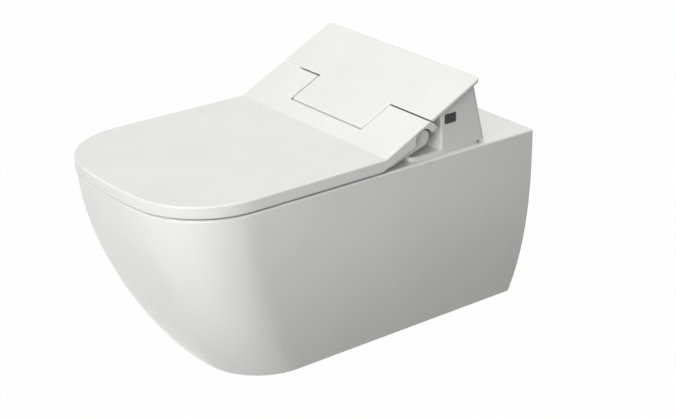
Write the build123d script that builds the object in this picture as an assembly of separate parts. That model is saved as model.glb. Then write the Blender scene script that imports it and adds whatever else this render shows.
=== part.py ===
from build123d import *
import os
from math import acos, atan2, cos, hypot, pi, radians, sin, sqrt, tan

# Wall hung toilet with a shower seat.
# The ceramic pan hangs on two wall studs. On its deck sits a flat seat unit with a sloping cover,
# a lid, a seat ring and a spray wand that slides out over the bowl.
# Frame: the origin is midway between the two studs on the wall face, +Y points into the wall,
# +X is to the right seen from the front and +Z is up. All lengths are in millimetres.

# Ceramic pan, outside
PAN_HALF_WIDTH = 180.0
PAN_LENGTH = 629.0
PAN_HEIGHT = 290.0
PAN_FOOT_SIDE_INSET = 48.4
PAN_FOOT_FRONT_INSET = 123.2
PAN_CORNER = 118.0
PAN_FOOT_CORNER = 96.0
FRONT_ROUND = 650.0
RIM_Z = 115.0
RIM_ROUND = 3.0
FOOT_ROUND = 6.0

# Ceramic pan, inside
CERAMIC_WALL = 11.0
DECK_THICKNESS = 14.0
BOWL_FRONT_RIM = 49.0
BOWL_SIDE_RIM = 48.0
BOWL_REAR_Y = -262.0
BOWL_DEPTH = 262.0
TRAP_RADIUS = 36.0
TRAP_WALL = 10.0
TRAP_BEND = 52.0
TRAP_CREST_Y = -170.0
WATER_SEAL = 50.0
OUTLET_Z = -100.0
OUTLET_RADIUS = 51.0
OUTLET_SPIGOT = 42.0
FLUSH_Z = 35.0
FLUSH_SOCKET_RADIUS = 27.5
FLUSH_SOCKET_DEPTH = 40.0
FLUSH_SOCKET_WALL = 8.5
FLUSH_DUCT_RADIUS = 18.0
FLUSH_DUCT_WALL = 8.0

# Wall fixing
STUD_SPACING = 180.0
STUD_HOLE_RADIUS = 6.5
SLEEVE_RADIUS = 15.0
SLEEVE_LENGTH = 116.0
LUG_WALL = 7.0
CLAMP_SCREW_Y = -108.0
CLAMP_SCREW_RADIUS = 4.0
CLAMP_HEAD_RADIUS = 6.5
CLAMP_HEAD_HEIGHT = 6.0
WALL_PAST = 2.0
LUG_REAR_Y = -14.0
PAD_REAR_Y = -204.0
PAD_DEPTH = 32.0

# Clearances
SLIDE_GAP = 0.3
SHAFT_GAP = 0.06
SEATED_GAP = 0.02
SEAM = 2.4

# Cover plane of the seat unit
COVER_REAR_Y = -108.0
COVER_REAR_HEIGHT = 107.0
COVER_SLOPE = 26.1
COVER_SEAM_Y = -202.0
COVER_THICKNESS = 5.0
COVER_ROUND = 1.8
COVER_CORNER = 7.0
TONGUE_HALF_WIDTH = 85.9
TONGUE_FRONT_Y = -254.5

# Hinge of lid and seat ring
PIVOT_DEPTH = 19.0
PIVOT_AHEAD_OF_SEAM = 21.3
SHAFT_RADIUS = 4.5
SHAFT_INSET = 8.6
LID_LUG_RADIUS = 10.5
LID_LUG_INNER = 92.0
LID_LUG_WIDTH = 24.0
SEAT_BOSS_RADIUS = 13.0
SEAT_ARM_WIDTH = 22.0
DAMPER_RADIUS = 11.0
DAMPER_LENGTH = 46.0
BEARING_LENGTH = 9.0

# Lid
LID_SIDE_OVERHANG = 0.2
LID_FRONT_OVERHANG = 2.5
LID_TOP_HEIGHT = 21.0
LID_SKIRT_HEIGHT = 3.0
LID_WALL = 3.6
LID_PLATE = 4.0
LID_ROUND = 2.2
LID_SKIRT_TURN_Y = -290.0
LID_CUTOUT_RADIUS = 16.0
LID_TOP_FALL = 0.7

# Seat ring
SEAT_THICKNESS = 10.0
SEAT_BUFFER_HEIGHT = 4.0
SEAT_BUFFER_LENGTH = 34.0
SEAT_BUFFER_WIDTH = 12.0
LID_BUFFER_LENGTH = 26.0
LID_BUFFER_WIDTH = 9.0
BUFFER_REAR_INSET = 25.5
BUFFER_REAR_Y = -372.0
BUFFER_FRONT_X = 66.0
BUFFER_FRONT_INSET = 31.5
SEAT_SIDE_GAP = 3.1
SEAT_REAR_Y = -258.5
SEAT_REAR_CORNER = 9.0
SEAT_SIDE_RIM = 61.5
SEAT_FRONT_RIM = 61.5
SEAT_OPENING_REAR_Y = -284.0
SEAT_ROUND = 3.5
RACK_GROOVE_GAP = 1.5

# Seat unit housing
BASE_THICKNESS = 6.5
BASE_INSET = 3.5
BASE_FRONT_Y = -230.0
BASE_REAR_Y = -97.0
HOUSING_INSET = 6.7
HOUSING_OVERRUN = 30.0
HOUSING_WALL = 2.5
HOUSING_FRONT_Y = -176.5
HOUSING_REAR_TOP_Y = -112.0
HOUSING_REAR_FOOT_Y = -90.0
NOSE_HALF_WIDTH = 83.5
NOSE_FRONT_Y = -247.0
PAN_PLATE = 3.0
SEAT_BOLT_SPACING = 155.0
SEAT_BOLT_Y = -160.0
SEAT_BOLT_RADIUS = 3.0
SEAT_BOLT_LENGTH = 40.0
SEAT_BOLT_HEAD_RADIUS = 6.5
SEAT_BOLT_HEAD_DEPTH = 4.4
SEAT_BOLT_SINK_RADIUS = 8.4
PLUG_LENGTH = 36.0
PLUG_GROOVE_RADIUS = 0.9
PLUG_GROOVE_DEPTHS = (18.0, 24.0, 30.0)
DECK_HOLE_RADIUS = 7.5

# Spray wand
WAND_ANGLE = 20.0
WAND_MOUTH_Y = -238.0
WAND_MOUTH_HEIGHT = 3.7
WAND_RADIUS = 8.0
WAND_LENGTH = 118.0
WAND_TIP_LENGTH = 16.0
WAND_BORE_RADIUS = 3.2
WAND_STROKE = 95.0
FEED_RADIUS = 2.6
GUIDE_WALL = 2.7
GUIDE_LENGTH = 134.0
CHEEK_INNER = 5.0
CHEEK_OUTER = 7.6
GEAR_MODULE = 1.0
PINION_TEETH = 18
PINION_PLACE = 22.0
PINION_WIDTH = 6.0
RACK_WIDTH = 6.6
BACKLASH = 0.2
PINION_AXLE_RADIUS = 2.0
MOTOR_RADIUS = 10.0
MOTOR_LENGTH = 15.0

# Release button and latch
LATCH_Y = -150.0
LATCH_TRAVEL = 4.0
LATCH_WIDTH = 6.0
LATCH_HALF_LENGTH = 5.0
LATCH_GAP = 0.6
LATCH_INSET = 9.5
BUTTON_LENGTH = 20.0
BUTTON_HEIGHT = 10.0
BUTTON_RISE = 24.0
BUTTON_PROUD = 2.2
BUTTON_COLLAR = 3.0

# Sensor window and receiver
WINDOW_Y = -159.3
WINDOW_RISE = 53.3
WINDOW_LENGTH = 21.4
WINDOW_HEIGHT = 14.6
RECEIVER_DEPTH = 4.0
RECEIVER_EYE_DEPTH = 2.4

# Water inlet and valve
INLET_X = -130.0
INLET_RISE = 30.0
INLET_RADIUS = 10.48
INLET_SHANK_RADIUS = 9.5
INLET_BORE_RADIUS = 6.5
INLET_THREAD_LENGTH = 13.0
INLET_LENGTH = 26.0
INLET_FACE_Y = -78.0
VALVE_WIDTH = 38.0
VALVE_LENGTH = 34.0
VALVE_RISE = 14.0
COIL_RADIUS = 12.0
COIL_RISE = 38.0

# Water heater and hoses
HEATER_LEFT = -92.0
HEATER_RIGHT = -30.0
HEATER_FRONT_Y = -158.0
HEATER_REAR_Y = -114.0
HEATER_RISE = 38.0
HEATER_FINS = 6
FIN_PITCH = 8.0
FIN_SLOT = 3.0
HEATER_PIPE_X = -60.0
HEATER_PIPE_Y = -124.0
HEATER_PIPE_RISE = 43.0
HEATER_PIPE_RADIUS = 4.0
COLD_HOSE_Y = -127.0
COLD_HOSE_RISE = 22.0
COLD_HOSE_RADIUS = 4.5
COLD_HOSE_BORE_RADIUS = 2.5
WARM_HOSE_RADIUS = 2.8

# Power and control
GLAND_X = -78.0
GLAND_RISE = 22.0
GLAND_RADIUS = 7.0
GLAND_BORE_RADIUS = 3.4
GLAND_LENGTH = 20.0
GLAND_FLANGE = 2.5
GLAND_FACE_Y = -84.0
BOARD_RISE = 50.0
BOARD_LEFT = 28.0
BOARD_INSET = 9.5
BOARD_FRONT_Y = -170.0
BOARD_REAR_Y = -118.0
BOARD_THICKNESS = 1.6
POST_RADIUS = 3.5
POST_INSET = 6.0
SOCKET_COUNT = 4
SOCKET_PITCH = 24.0
SOCKET_WIDTH = 16.0
SUPPLY_LEFT = 42.0
SUPPLY_RIGHT = 94.0
SUPPLY_FRONT_Y = -168.0
SUPPLY_REAR_Y = -118.0
SUPPLY_RISE = 38.0

# Odour fan
FAN_INSET = 48.5
FAN_Y = -140.0
FAN_RADIUS = 24.0
FAN_HEIGHT = 19.0
FAN_WALL = 2.0
FAN_INTAKE_RADIUS = 14.0
FAN_DUCT_LENGTH = 40.0
FAN_DUCT_WIDTH = 18.0
FAN_PIN_RADIUS = 2.0
ROTOR_RADIUS = 20.0
ROTOR_HUB_RADIUS = 6.0
ROTOR_BLADES = 9
BLADE_HEIGHT = 9.0
BLADE_THICKNESS = 1.2

# Derived widths and lengths
PAN_FOOT_HALF_WIDTH = PAN_HALF_WIDTH - PAN_FOOT_SIDE_INSET
PAN_FOOT_LENGTH = PAN_LENGTH - PAN_FOOT_FRONT_INSET
BOWL_LENGTH = BOWL_REAR_Y + PAN_LENGTH - BOWL_FRONT_RIM
LID_HALF_WIDTH = PAN_HALF_WIDTH + LID_SIDE_OVERHANG
LID_FRONT_Y = -(PAN_LENGTH + LID_FRONT_OVERHANG)
COVER_HALF_WIDTH = LID_HALF_WIDTH
SHAFT_END = LID_HALF_WIDTH - SHAFT_INSET
SEAT_HALF_WIDTH = LID_HALF_WIDTH - LID_WALL - SEAT_SIDE_GAP
SEAT_OPENING_HALF_WIDTH = SEAT_HALF_WIDTH - SEAT_SIDE_RIM
SEAT_OPENING_LENGTH = SEAT_OPENING_REAR_Y - LID_FRONT_Y - SEAT_FRONT_RIM
HOUSING_HALF_WIDTH = LID_HALF_WIDTH - HOUSING_INSET
BASE_HALF_WIDTH = HOUSING_HALF_WIDTH - BASE_INSET
DAMPER_END = NOSE_HALF_WIDTH - HOUSING_WALL - BEARING_LENGTH - DAMPER_LENGTH
LATCH_X = -(HOUSING_HALF_WIDTH - LATCH_INSET)
BOARD_RIGHT = HOUSING_HALF_WIDTH - BOARD_INSET
FAN_X = HOUSING_HALF_WIDTH - FAN_INSET
BUFFER_REAR_X = SEAT_HALF_WIDTH - BUFFER_REAR_INSET
BUFFER_FRONT_Y = LID_FRONT_Y + BUFFER_FRONT_INSET

# Derived planes and heights
PAN_FOOT_Z = RIM_Z - PAN_HEIGHT
UNIT_Z = RIM_Z + BASE_THICKNESS
FLOOR_Z = UNIT_Z + PAN_PLATE
SEAT_LOW_Z = RIM_Z + SEAT_BUFFER_HEIGHT
SEAT_TOP_Z = SEAT_LOW_Z + SEAT_THICKNESS
LID_UNDER_Z = RIM_Z + LID_TOP_HEIGHT - LID_PLATE
BUTTON_Z = RIM_Z + BUTTON_RISE
WINDOW_Z = RIM_Z + WINDOW_RISE
INLET_Z = RIM_Z + INLET_RISE
HEATER_TOP_Z = RIM_Z + HEATER_RISE
HEATER_PIPE_Z = RIM_Z + HEATER_PIPE_RISE
COLD_HOSE_Z = RIM_Z + COLD_HOSE_RISE
GLAND_Z = RIM_Z + GLAND_RISE
BOARD_Z = RIM_Z + BOARD_RISE
SLOPE_COS = cos(radians(COVER_SLOPE))
SLOPE_SIN = sin(radians(COVER_SLOPE))
SLOPE_TAN = tan(radians(COVER_SLOPE))
PIVOT_Y = COVER_SEAM_Y - PIVOT_AHEAD_OF_SEAM * SLOPE_COS + PIVOT_DEPTH * SLOPE_SIN
LID_SEAM_RADIUS = hypot(PIVOT_DEPTH, PIVOT_AHEAD_OF_SEAM - SEAM)
COVER_SEAM_RADIUS = hypot(PIVOT_DEPTH, PIVOT_AHEAD_OF_SEAM)
GUIDE_RADIUS = WAND_RADIUS + SLIDE_GAP + GUIDE_WALL
PITCH_RADIUS = GEAR_MODULE * PINION_TEETH / 2
RACK_PITCH_HEIGHT = WAND_RADIUS + 1.5 * GEAR_MODULE
PINION_HEIGHT = RACK_PITCH_HEIGHT + PITCH_RADIUS


def cover_top(y):
    """Height of the cover's top plane above the origin."""
    return RIM_Z + COVER_REAR_HEIGHT - SLOPE_TAN * (COVER_REAR_Y - y)


def cover_under(y):
    """Height of the cover's lower face above the origin."""
    return cover_top(y) - COVER_THICKNESS / SLOPE_COS


PIVOT_Z = cover_top(PIVOT_Y - PIVOT_DEPTH * SLOPE_SIN) - PIVOT_DEPTH * SLOPE_COS
CREASE_Y = COVER_REAR_Y - (COVER_REAR_HEIGHT - LID_TOP_HEIGHT) / SLOPE_TAN


def block(x0, x1, y0, y1, z0, z1):
    """A box between two corners."""
    return Pos((x0 + x1) / 2, (y0 + y1) / 2, (z0 + z1) / 2) * Box(x1 - x0, y1 - y0, z1 - z0)


def rod_x(x0, x1, y, z, radius):
    """A cylinder along X."""
    return Pos((x0 + x1) / 2, y, z) * Rot(0, 90, 0) * Cylinder(radius, x1 - x0)


def rod_y(y0, y1, x, z, radius):
    """A cylinder along Y."""
    return Pos(x, (y0 + y1) / 2, z) * Rot(90, 0, 0) * Cylinder(radius, y1 - y0)


def rod_z(z0, z1, x, y, radius):
    """A cylinder along Z."""
    return Pos(x, y, (z0 + z1) / 2) * Cylinder(radius, z1 - z0)


def side_profile(points, x0, x1):
    """A prism along X on a closed outline of (y, z) points."""
    outline = Polyline(*[(0, y, z) for y, z in points], close=True)
    return extrude(make_face(outline), amount=x1 - x0, dir=(1, 0, 0)).moved(Pos(x0, 0, 0))


def plan_face(half_width, length, corner, z, back=0.0):
    """Plan outline: straight sides from the wall, round front corners and a slightly bowed front."""
    reach = FRONT_ROUND - corner
    side = half_width - corner
    bow_centre = FRONT_ROUND - length
    corner_y = bow_centre - sqrt(reach * reach - side * side)
    blend = atan2(bow_centre - corner_y, side)
    join_x = FRONT_ROUND * cos(blend)
    join_y = bow_centre - FRONT_ROUND * sin(blend)
    middle = blend / 2
    mid_x = side + corner * cos(middle)
    mid_y = corner_y - corner * sin(middle)
    outline = [
        Line((-half_width, back), (half_width, back)),
        Line((half_width, back), (half_width, corner_y)),
        ThreePointArc((half_width, corner_y), (mid_x, mid_y), (join_x, join_y)),
        ThreePointArc((join_x, join_y), (0, -length), (-join_x, join_y)),
        ThreePointArc((-join_x, join_y), (-mid_x, mid_y), (-half_width, corner_y)),
        Line((-half_width, corner_y), (-half_width, back)),
    ]
    return make_face(Curve() + outline).moved(Pos(0, 0, z))


def pan_section(depth, inset=0.0, back=0.0):
    """Plan outline of the pan at a depth from 0 at the rim to 1 at the foot."""
    taper = 1 - (1 - depth**1.604) ** 0.92
    length = PAN_LENGTH - (PAN_LENGTH - PAN_FOOT_LENGTH) * taper
    half_width = PAN_HALF_WIDTH - (PAN_HALF_WIDTH - PAN_FOOT_HALF_WIDTH) * depth**2.575
    corner = PAN_CORNER - (PAN_CORNER - PAN_FOOT_CORNER) * depth
    z = RIM_Z - PAN_HEIGHT * depth
    return plan_face(half_width - inset, length - inset, corner - inset, z, back)


def bowl_form(wall=0.0):
    """The bowl's water side, or its outer side when a wall is given."""
    front = -(PAN_LENGTH - BOWL_FRONT_RIM)
    middle = front + BOWL_LENGTH / 2
    wide = PAN_HALF_WIDTH - BOWL_SIDE_RIM
    long = BOWL_LENGTH / 2
    shares = [
        (0.0, 0.0, 1.0, 1.0),
        (0.23, 5.0, 0.98, 0.97),
        (0.50, 23.0, 0.82, 0.80),
        (0.71, 49.0, 0.58, 0.55),
        (0.88, 69.0, 0.36, 0.33),
        (1.0, 77.0, 0.23, 0.19),
    ]
    rings = []
    for depth, shift, across, along in shares:
        drop = depth * (BOWL_DEPTH + wall)
        place = Pos(0, middle + shift, RIM_Z - drop)
        rings.append(place * Ellipse(wide * across + wall, long * along + wall))
    return loft(rings)


def trap_path():
    """Centre line of the trapway, from the sump over the weir to the outlet."""
    crest_z = RIM_Z - BOWL_DEPTH + 2 * TRAP_RADIUS + WATER_SEAL + TRAP_RADIUS - 3.0
    centre_z = crest_z - TRAP_BEND
    low_z = RIM_Z - BOWL_DEPTH + TRAP_RADIUS - 2.0
    rise_y = TRAP_CREST_Y - TRAP_BEND
    fall_y = TRAP_CREST_Y + TRAP_BEND
    low_bend = centre_z - low_z - 2.0
    out_bend = centre_z - OUTLET_Z - 4.0
    low_mid = low_bend * (1 - sqrt(0.5))
    out_mid = out_bend * (1 - sqrt(0.5))
    return [
        Line((0, rise_y - low_bend - 76, low_z), (0, rise_y - low_bend, low_z)),
        ThreePointArc(
            (0, rise_y - low_bend, low_z),
            (0, rise_y - low_mid, low_z + low_mid),
            (0, rise_y, low_z + low_bend),
        ),
        Line((0, rise_y, low_z + low_bend), (0, rise_y, centre_z)),
        ThreePointArc((0, rise_y, centre_z), (0, TRAP_CREST_Y, crest_z), (0, fall_y, centre_z)),
        Line((0, fall_y, centre_z), (0, fall_y, OUTLET_Z + out_bend)),
        ThreePointArc(
            (0, fall_y, OUTLET_Z + out_bend),
            (0, fall_y + out_mid, OUTLET_Z + out_mid),
            (0, fall_y + out_bend, OUTLET_Z),
        ),
        Line((0, fall_y + out_bend, OUTLET_Z), (0, 0, OUTLET_Z)),
    ]


def trap_form(radius):
    """The trapway as a round bar of one radius."""
    path = trap_path()
    start = Plane(origin=path[0] @ 0, z_dir=path[0] % 0)
    return sweep(start * Circle(radius), path=Wire(Curve() + path))


def flush_form(radius):
    """The flush duct as a round bar, from the wall to the back of the bowl."""
    duct_z = RIM_Z - DECK_THICKNESS - FLUSH_DUCT_RADIUS - FLUSH_DUCT_WALL - 3.0
    path = FilletPolyline(
        (0, 0, FLUSH_Z), (0, -62, FLUSH_Z), (0, -122, duct_z), (0, BOWL_REAR_Y - 8, duct_z), radius=60
    )
    return sweep(Plane(origin=path @ 0, z_dir=path % 0) * Circle(radius), path=path)


def wand_place():
    """Frame of the wand: its axis along Y, its front at y = 0, tilted down to the front."""
    return Pos(0, WAND_MOUTH_Y, RIM_Z + WAND_MOUTH_HEIGHT) * Rot(WAND_ANGLE, 0, 0)


def wand_channel(radius, length):
    """A bar along the wand's axis, to cut a way for it."""
    return wand_place() * rod_y(-length, length, 0, 0, radius)


def ceramic_bowl():
    """Pan: outer skin, deck, bowl, trapway, flush duct, fixing lugs and the trough under the wand."""
    depths = [0.0, 0.25, 0.5, 0.75, 1.0]
    band = PAN_LENGTH + 10
    skin = loft([pan_section(depth, 0.0, WALL_PAST) for depth in depths])
    skin = skin & block(-band, band, -band, 0, PAN_FOOT_Z - 1, RIM_Z + 1)
    foot = skin.faces().sort_by(Axis.Z)[0]
    skin = fillet([e for e in foot.edges() if e.center().Y < -1], FOOT_ROUND)
    deck = skin.faces().sort_by(Axis.Z)[-1]
    skin = fillet([e for e in deck.edges() if e.center().Y < -1], RIM_ROUND)
    hollow = loft([pan_section(depth, CERAMIC_WALL, WALL_PAST) for depth in depths])
    hollow = hollow & block(
        -band, band, -band, band, PAN_FOOT_Z + CERAMIC_WALL, RIM_Z - DECK_THICKNESS
    )
    body = skin - hollow
    body += bowl_form(CERAMIC_WALL) & skin
    body += trap_form(TRAP_RADIUS + TRAP_WALL) & skin
    body += rod_y(-OUTLET_SPIGOT, 0, 0, OUTLET_Z, OUTLET_RADIUS)
    body += flush_form(FLUSH_DUCT_RADIUS + FLUSH_DUCT_WALL)
    socket = FLUSH_SOCKET_RADIUS + FLUSH_SOCKET_WALL
    body += rod_y(-FLUSH_SOCKET_DEPTH - FLUSH_SOCKET_WALL, 0, 0, FLUSH_Z, socket)
    pad = GUIDE_RADIUS + CERAMIC_WALL
    body += block(-pad, pad, BOWL_REAR_Y, PAD_REAR_Y, RIM_Z - PAD_DEPTH, RIM_Z - DECK_THICKNESS)
    for side in (-1, 1):
        body += fixing_lug(side)
    body -= bowl_form()
    rim = [e for e in body.edges() if e.center().Z > RIM_Z - 0.01 and e.length > 600]
    rim = [e for e in rim if e.bounding_box().min.Y > -PAN_LENGTH + BOWL_FRONT_RIM - 1]
    body = fillet(rim, RIM_ROUND)
    body -= trap_form(TRAP_RADIUS)
    body -= flush_form(FLUSH_DUCT_RADIUS)
    body -= rod_y(-FLUSH_SOCKET_DEPTH, 1, 0, FLUSH_Z, FLUSH_SOCKET_RADIUS)
    body -= wand_channel(GUIDE_RADIUS + SLIDE_GAP, 60)
    for side in (-1, 1):
        stud_x = side * STUD_SPACING / 2
        body -= rod_y(-SLEEVE_LENGTH - 2, 1, stud_x, 0, SLEEVE_RADIUS + SLIDE_GAP)
        shank = CLAMP_SCREW_RADIUS + SLIDE_GAP
        body -= rod_z(0, RIM_Z + 1, stud_x, CLAMP_SCREW_Y, shank)
        head = CLAMP_HEAD_RADIUS + SLIDE_GAP
        body -= rod_z(RIM_Z - CLAMP_HEAD_HEIGHT, RIM_Z + 1, stud_x, CLAMP_SCREW_Y, head)
        bolt_x = side * SEAT_BOLT_SPACING / 2
        body -= rod_z(RIM_Z - 2 * DECK_THICKNESS, RIM_Z + 1, bolt_x, SEAT_BOLT_Y, DECK_HOLE_RADIUS)
    return body


def fixing_lug(side):
    """One cast lug that takes a wall sleeve, with a web to the side wall and a post to the deck."""
    stud_x = side * STUD_SPACING / 2
    half = SLEEVE_RADIUS + LUG_WALL
    front = -SLEEVE_LENGTH - LUG_WALL
    outer = side * (PAN_HALF_WIDTH - CERAMIC_WALL / 2)
    lug = block(stud_x - half, stud_x + half, front, LUG_REAR_Y, -half, half)
    lug += block(min(stud_x, outer), max(stud_x, outer), front, LUG_REAR_Y, -LUG_WALL, LUG_WALL)
    post = CLAMP_HEAD_RADIUS + LUG_WALL
    lug += rod_z(0, RIM_Z - DECK_THICKNESS / 2, stud_x, CLAMP_SCREW_Y, post)
    return lug


def fixing_sleeve(side):
    """Nylon sleeve over one wall stud, with a seat for the clamp screw."""
    stud_x = side * STUD_SPACING / 2
    sleeve = rod_y(-SLEEVE_LENGTH, 0, stud_x, 0, SLEEVE_RADIUS)
    sleeve -= rod_y(-SLEEVE_LENGTH - 1, 1, stud_x, 0, STUD_HOLE_RADIUS)
    seat = CLAMP_SCREW_RADIUS + SLIDE_GAP
    return sleeve - rod_z(SLEEVE_RADIUS - 2, SLEEVE_RADIUS + 2, stud_x, CLAMP_SCREW_Y, seat)


def clamp_screw(side):
    """Long screw from the deck down to the sleeve, with a hexagon socket in its head."""
    stud_x = side * STUD_SPACING / 2
    screw = rod_z(SLEEVE_RADIUS - 2, RIM_Z - 1, stud_x, CLAMP_SCREW_Y, CLAMP_SCREW_RADIUS)
    head_z = RIM_Z - CLAMP_HEAD_HEIGHT
    screw += rod_z(head_z, RIM_Z - 0.6, stud_x, CLAMP_SCREW_Y, CLAMP_HEAD_RADIUS)
    socket = extrude(Pos(stud_x, CLAMP_SCREW_Y, RIM_Z - 4) * RegularPolygon(3, 6), amount=5)
    return screw - socket


def base_plate():
    """Mounting plate bolted to the deck, with a way for the wand guide and a pocket for the latch."""
    depth = BASE_REAR_Y - BASE_FRONT_Y
    middle = (BASE_REAR_Y + BASE_FRONT_Y) / 2
    outline = Pos(0, middle, RIM_Z) * RectangleRounded(2 * BASE_HALF_WIDTH, depth, 10)
    plate = extrude(outline, amount=BASE_THICKNESS)
    plate = chamfer(plate.edges().group_by(Axis.Z)[-1], 0.8)
    for side in (-1, 1):
        bolt_x = side * SEAT_BOLT_SPACING / 2
        plate -= rod_z(RIM_Z - 1, UNIT_Z + 1, bolt_x, SEAT_BOLT_Y, SEAT_BOLT_RADIUS + SLIDE_GAP)
        sink_z = UNIT_Z - SEAT_BOLT_HEAD_DEPTH
        plate -= rod_z(sink_z, UNIT_Z + 1, bolt_x, SEAT_BOLT_Y, SEAT_BOLT_SINK_RADIUS)
    gap = GUIDE_RADIUS + 1.5
    plate -= block(-gap, gap, BASE_FRONT_Y - 1, WAND_MOUTH_Y + 46, RIM_Z - 1, UNIT_Z + 1)
    plate -= latch_pocket(RIM_Z + 2)
    for side in (-1, 1):
        stud_x = side * STUD_SPACING / 2
        plate -= rod_z(RIM_Z - 1, UNIT_Z + 1, stud_x, CLAMP_SCREW_Y, CLAMP_HEAD_RADIUS + 1)
    return plate


def seat_bolt(side):
    """Bolt that holds the base plate to the deck."""
    bolt_x = side * SEAT_BOLT_SPACING / 2
    under_head = UNIT_Z - SEAT_BOLT_HEAD_DEPTH
    bolt = rod_z(RIM_Z - SEAT_BOLT_LENGTH, under_head, bolt_x, SEAT_BOLT_Y, SEAT_BOLT_RADIUS)
    bolt += rod_z(under_head, UNIT_Z - 0.4, bolt_x, SEAT_BOLT_Y, SEAT_BOLT_HEAD_RADIUS)
    return bolt - extrude(Pos(bolt_x, SEAT_BOLT_Y, UNIT_Z - 3) * RegularPolygon(2.8, 6), amount=4)


def expansion_plug(side):
    """Rubber plug that swells in the deck hole when the seat bolt is tightened."""
    bolt_x = side * SEAT_BOLT_SPACING / 2
    radius = DECK_HOLE_RADIUS - SLIDE_GAP
    low = RIM_Z - PLUG_LENGTH
    plug = rod_z(low, RIM_Z, bolt_x, SEAT_BOLT_Y, radius)
    plug -= rod_z(low - 1, RIM_Z + 1, bolt_x, SEAT_BOLT_Y, SEAT_BOLT_RADIUS + SEATED_GAP)
    for depth in PLUG_GROOVE_DEPTHS:
        plug -= Pos(bolt_x, SEAT_BOLT_Y, RIM_Z - depth) * Torus(radius, PLUG_GROOVE_RADIUS)
    return plug


def latch_pocket(floor):
    """Room in the plates for the latch nose and its travel."""
    low = LATCH_X - LATCH_WIDTH / 2 - LATCH_GAP
    high = LATCH_X + LATCH_WIDTH / 2 + LATCH_TRAVEL + LATCH_GAP
    half = LATCH_HALF_LENGTH + LATCH_GAP
    return block(low, high, LATCH_Y - half, LATCH_Y + half, floor, FLOOR_Z + 1)


def release_button():
    """Button in the left side of the housing, with a collar inside and the latch nose."""
    face_x = -HOUSING_HALF_WIDTH - BUTTON_PROUD
    inner = -HOUSING_HALF_WIDTH + HOUSING_WALL + 0.4
    flat = Plane(origin=(face_x, LATCH_Y, BUTTON_Z), x_dir=(0, 1, 0), z_dir=(1, 0, 0))
    button = extrude(flat * RectangleRounded(BUTTON_LENGTH, BUTTON_HEIGHT, 4.5), amount=inner - face_x)
    button = fillet(button.edges().group_by(Axis.X)[0], 1.0)
    half = BUTTON_LENGTH / 2 + BUTTON_COLLAR
    tall = BUTTON_HEIGHT / 2 + BUTTON_COLLAR
    button += block(inner, inner + 2, LATCH_Y - half, LATCH_Y + half, BUTTON_Z - tall, BUTTON_Z + tall)
    nose = LATCH_X + LATCH_WIDTH / 2
    front = LATCH_Y - LATCH_HALF_LENGTH
    rear = LATCH_Y + LATCH_HALF_LENGTH
    button += block(inner, nose, front, rear, BUTTON_Z - 3, BUTTON_Z + 3)
    low = LATCH_X - LATCH_WIDTH / 2
    return button + block(low, nose, front, rear, RIM_Z + 2.6, BUTTON_Z - 2)


def rear_line(offset):
    """Two points (y, z) of the housing's sloping back, moved inward by an offset, well past its ends."""
    foot_y = HOUSING_REAR_FOOT_Y
    top_y = HOUSING_REAR_TOP_Y
    lean = (foot_y - top_y) / (cover_under(top_y) - UNIT_Z)
    shift = offset * hypot(1, lean)
    return (foot_y - shift + lean * HOUSING_OVERRUN, UNIT_Z - HOUSING_OVERRUN), (
        top_y - shift - lean * HOUSING_OVERRUN,
        cover_under(top_y) + HOUSING_OVERRUN,
    )


def under_cover(points_front_y):
    """A wide prism of all that lies between the base plate and the cover's lower face."""
    rear_y = HOUSING_REAR_FOOT_Y + 5
    return side_profile(
        [
            (points_front_y, UNIT_Z),
            (points_front_y, cover_under(points_front_y)),
            (rear_y, cover_under(rear_y)),
            (rear_y, UNIT_Z),
        ],
        -HOUSING_HALF_WIDTH - 5,
        HOUSING_HALF_WIDTH + 5,
    )


def housing_body(inset):
    """Main part and nose of the seat unit as tall prisms, moved inward by an inset."""
    low, high = rear_line(inset)
    front = HOUSING_FRONT_Y + inset
    half = HOUSING_HALF_WIDTH - inset
    main = side_profile([(front, low[1]), low, high, (front, high[1])], -half, half)
    corner = 8.0 if inset == 0 else 5.5
    upright = [e for e in main.edges() if abs(e.center().X) > half - 1]
    upright = [e for e in upright if e.length > 100 and e.center().Y > front + 5]
    main = fillet(upright, corner)
    nose_half = NOSE_HALF_WIDTH - inset
    nose = block(-nose_half, nose_half, NOSE_FRONT_Y + inset, front + 12, low[1], high[1])
    upright = nose.edges().filter_by(Axis.Z).group_by(Axis.Y)[0]
    return main + fillet(upright, 4.0 if inset == 0 else 2.0)


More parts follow.
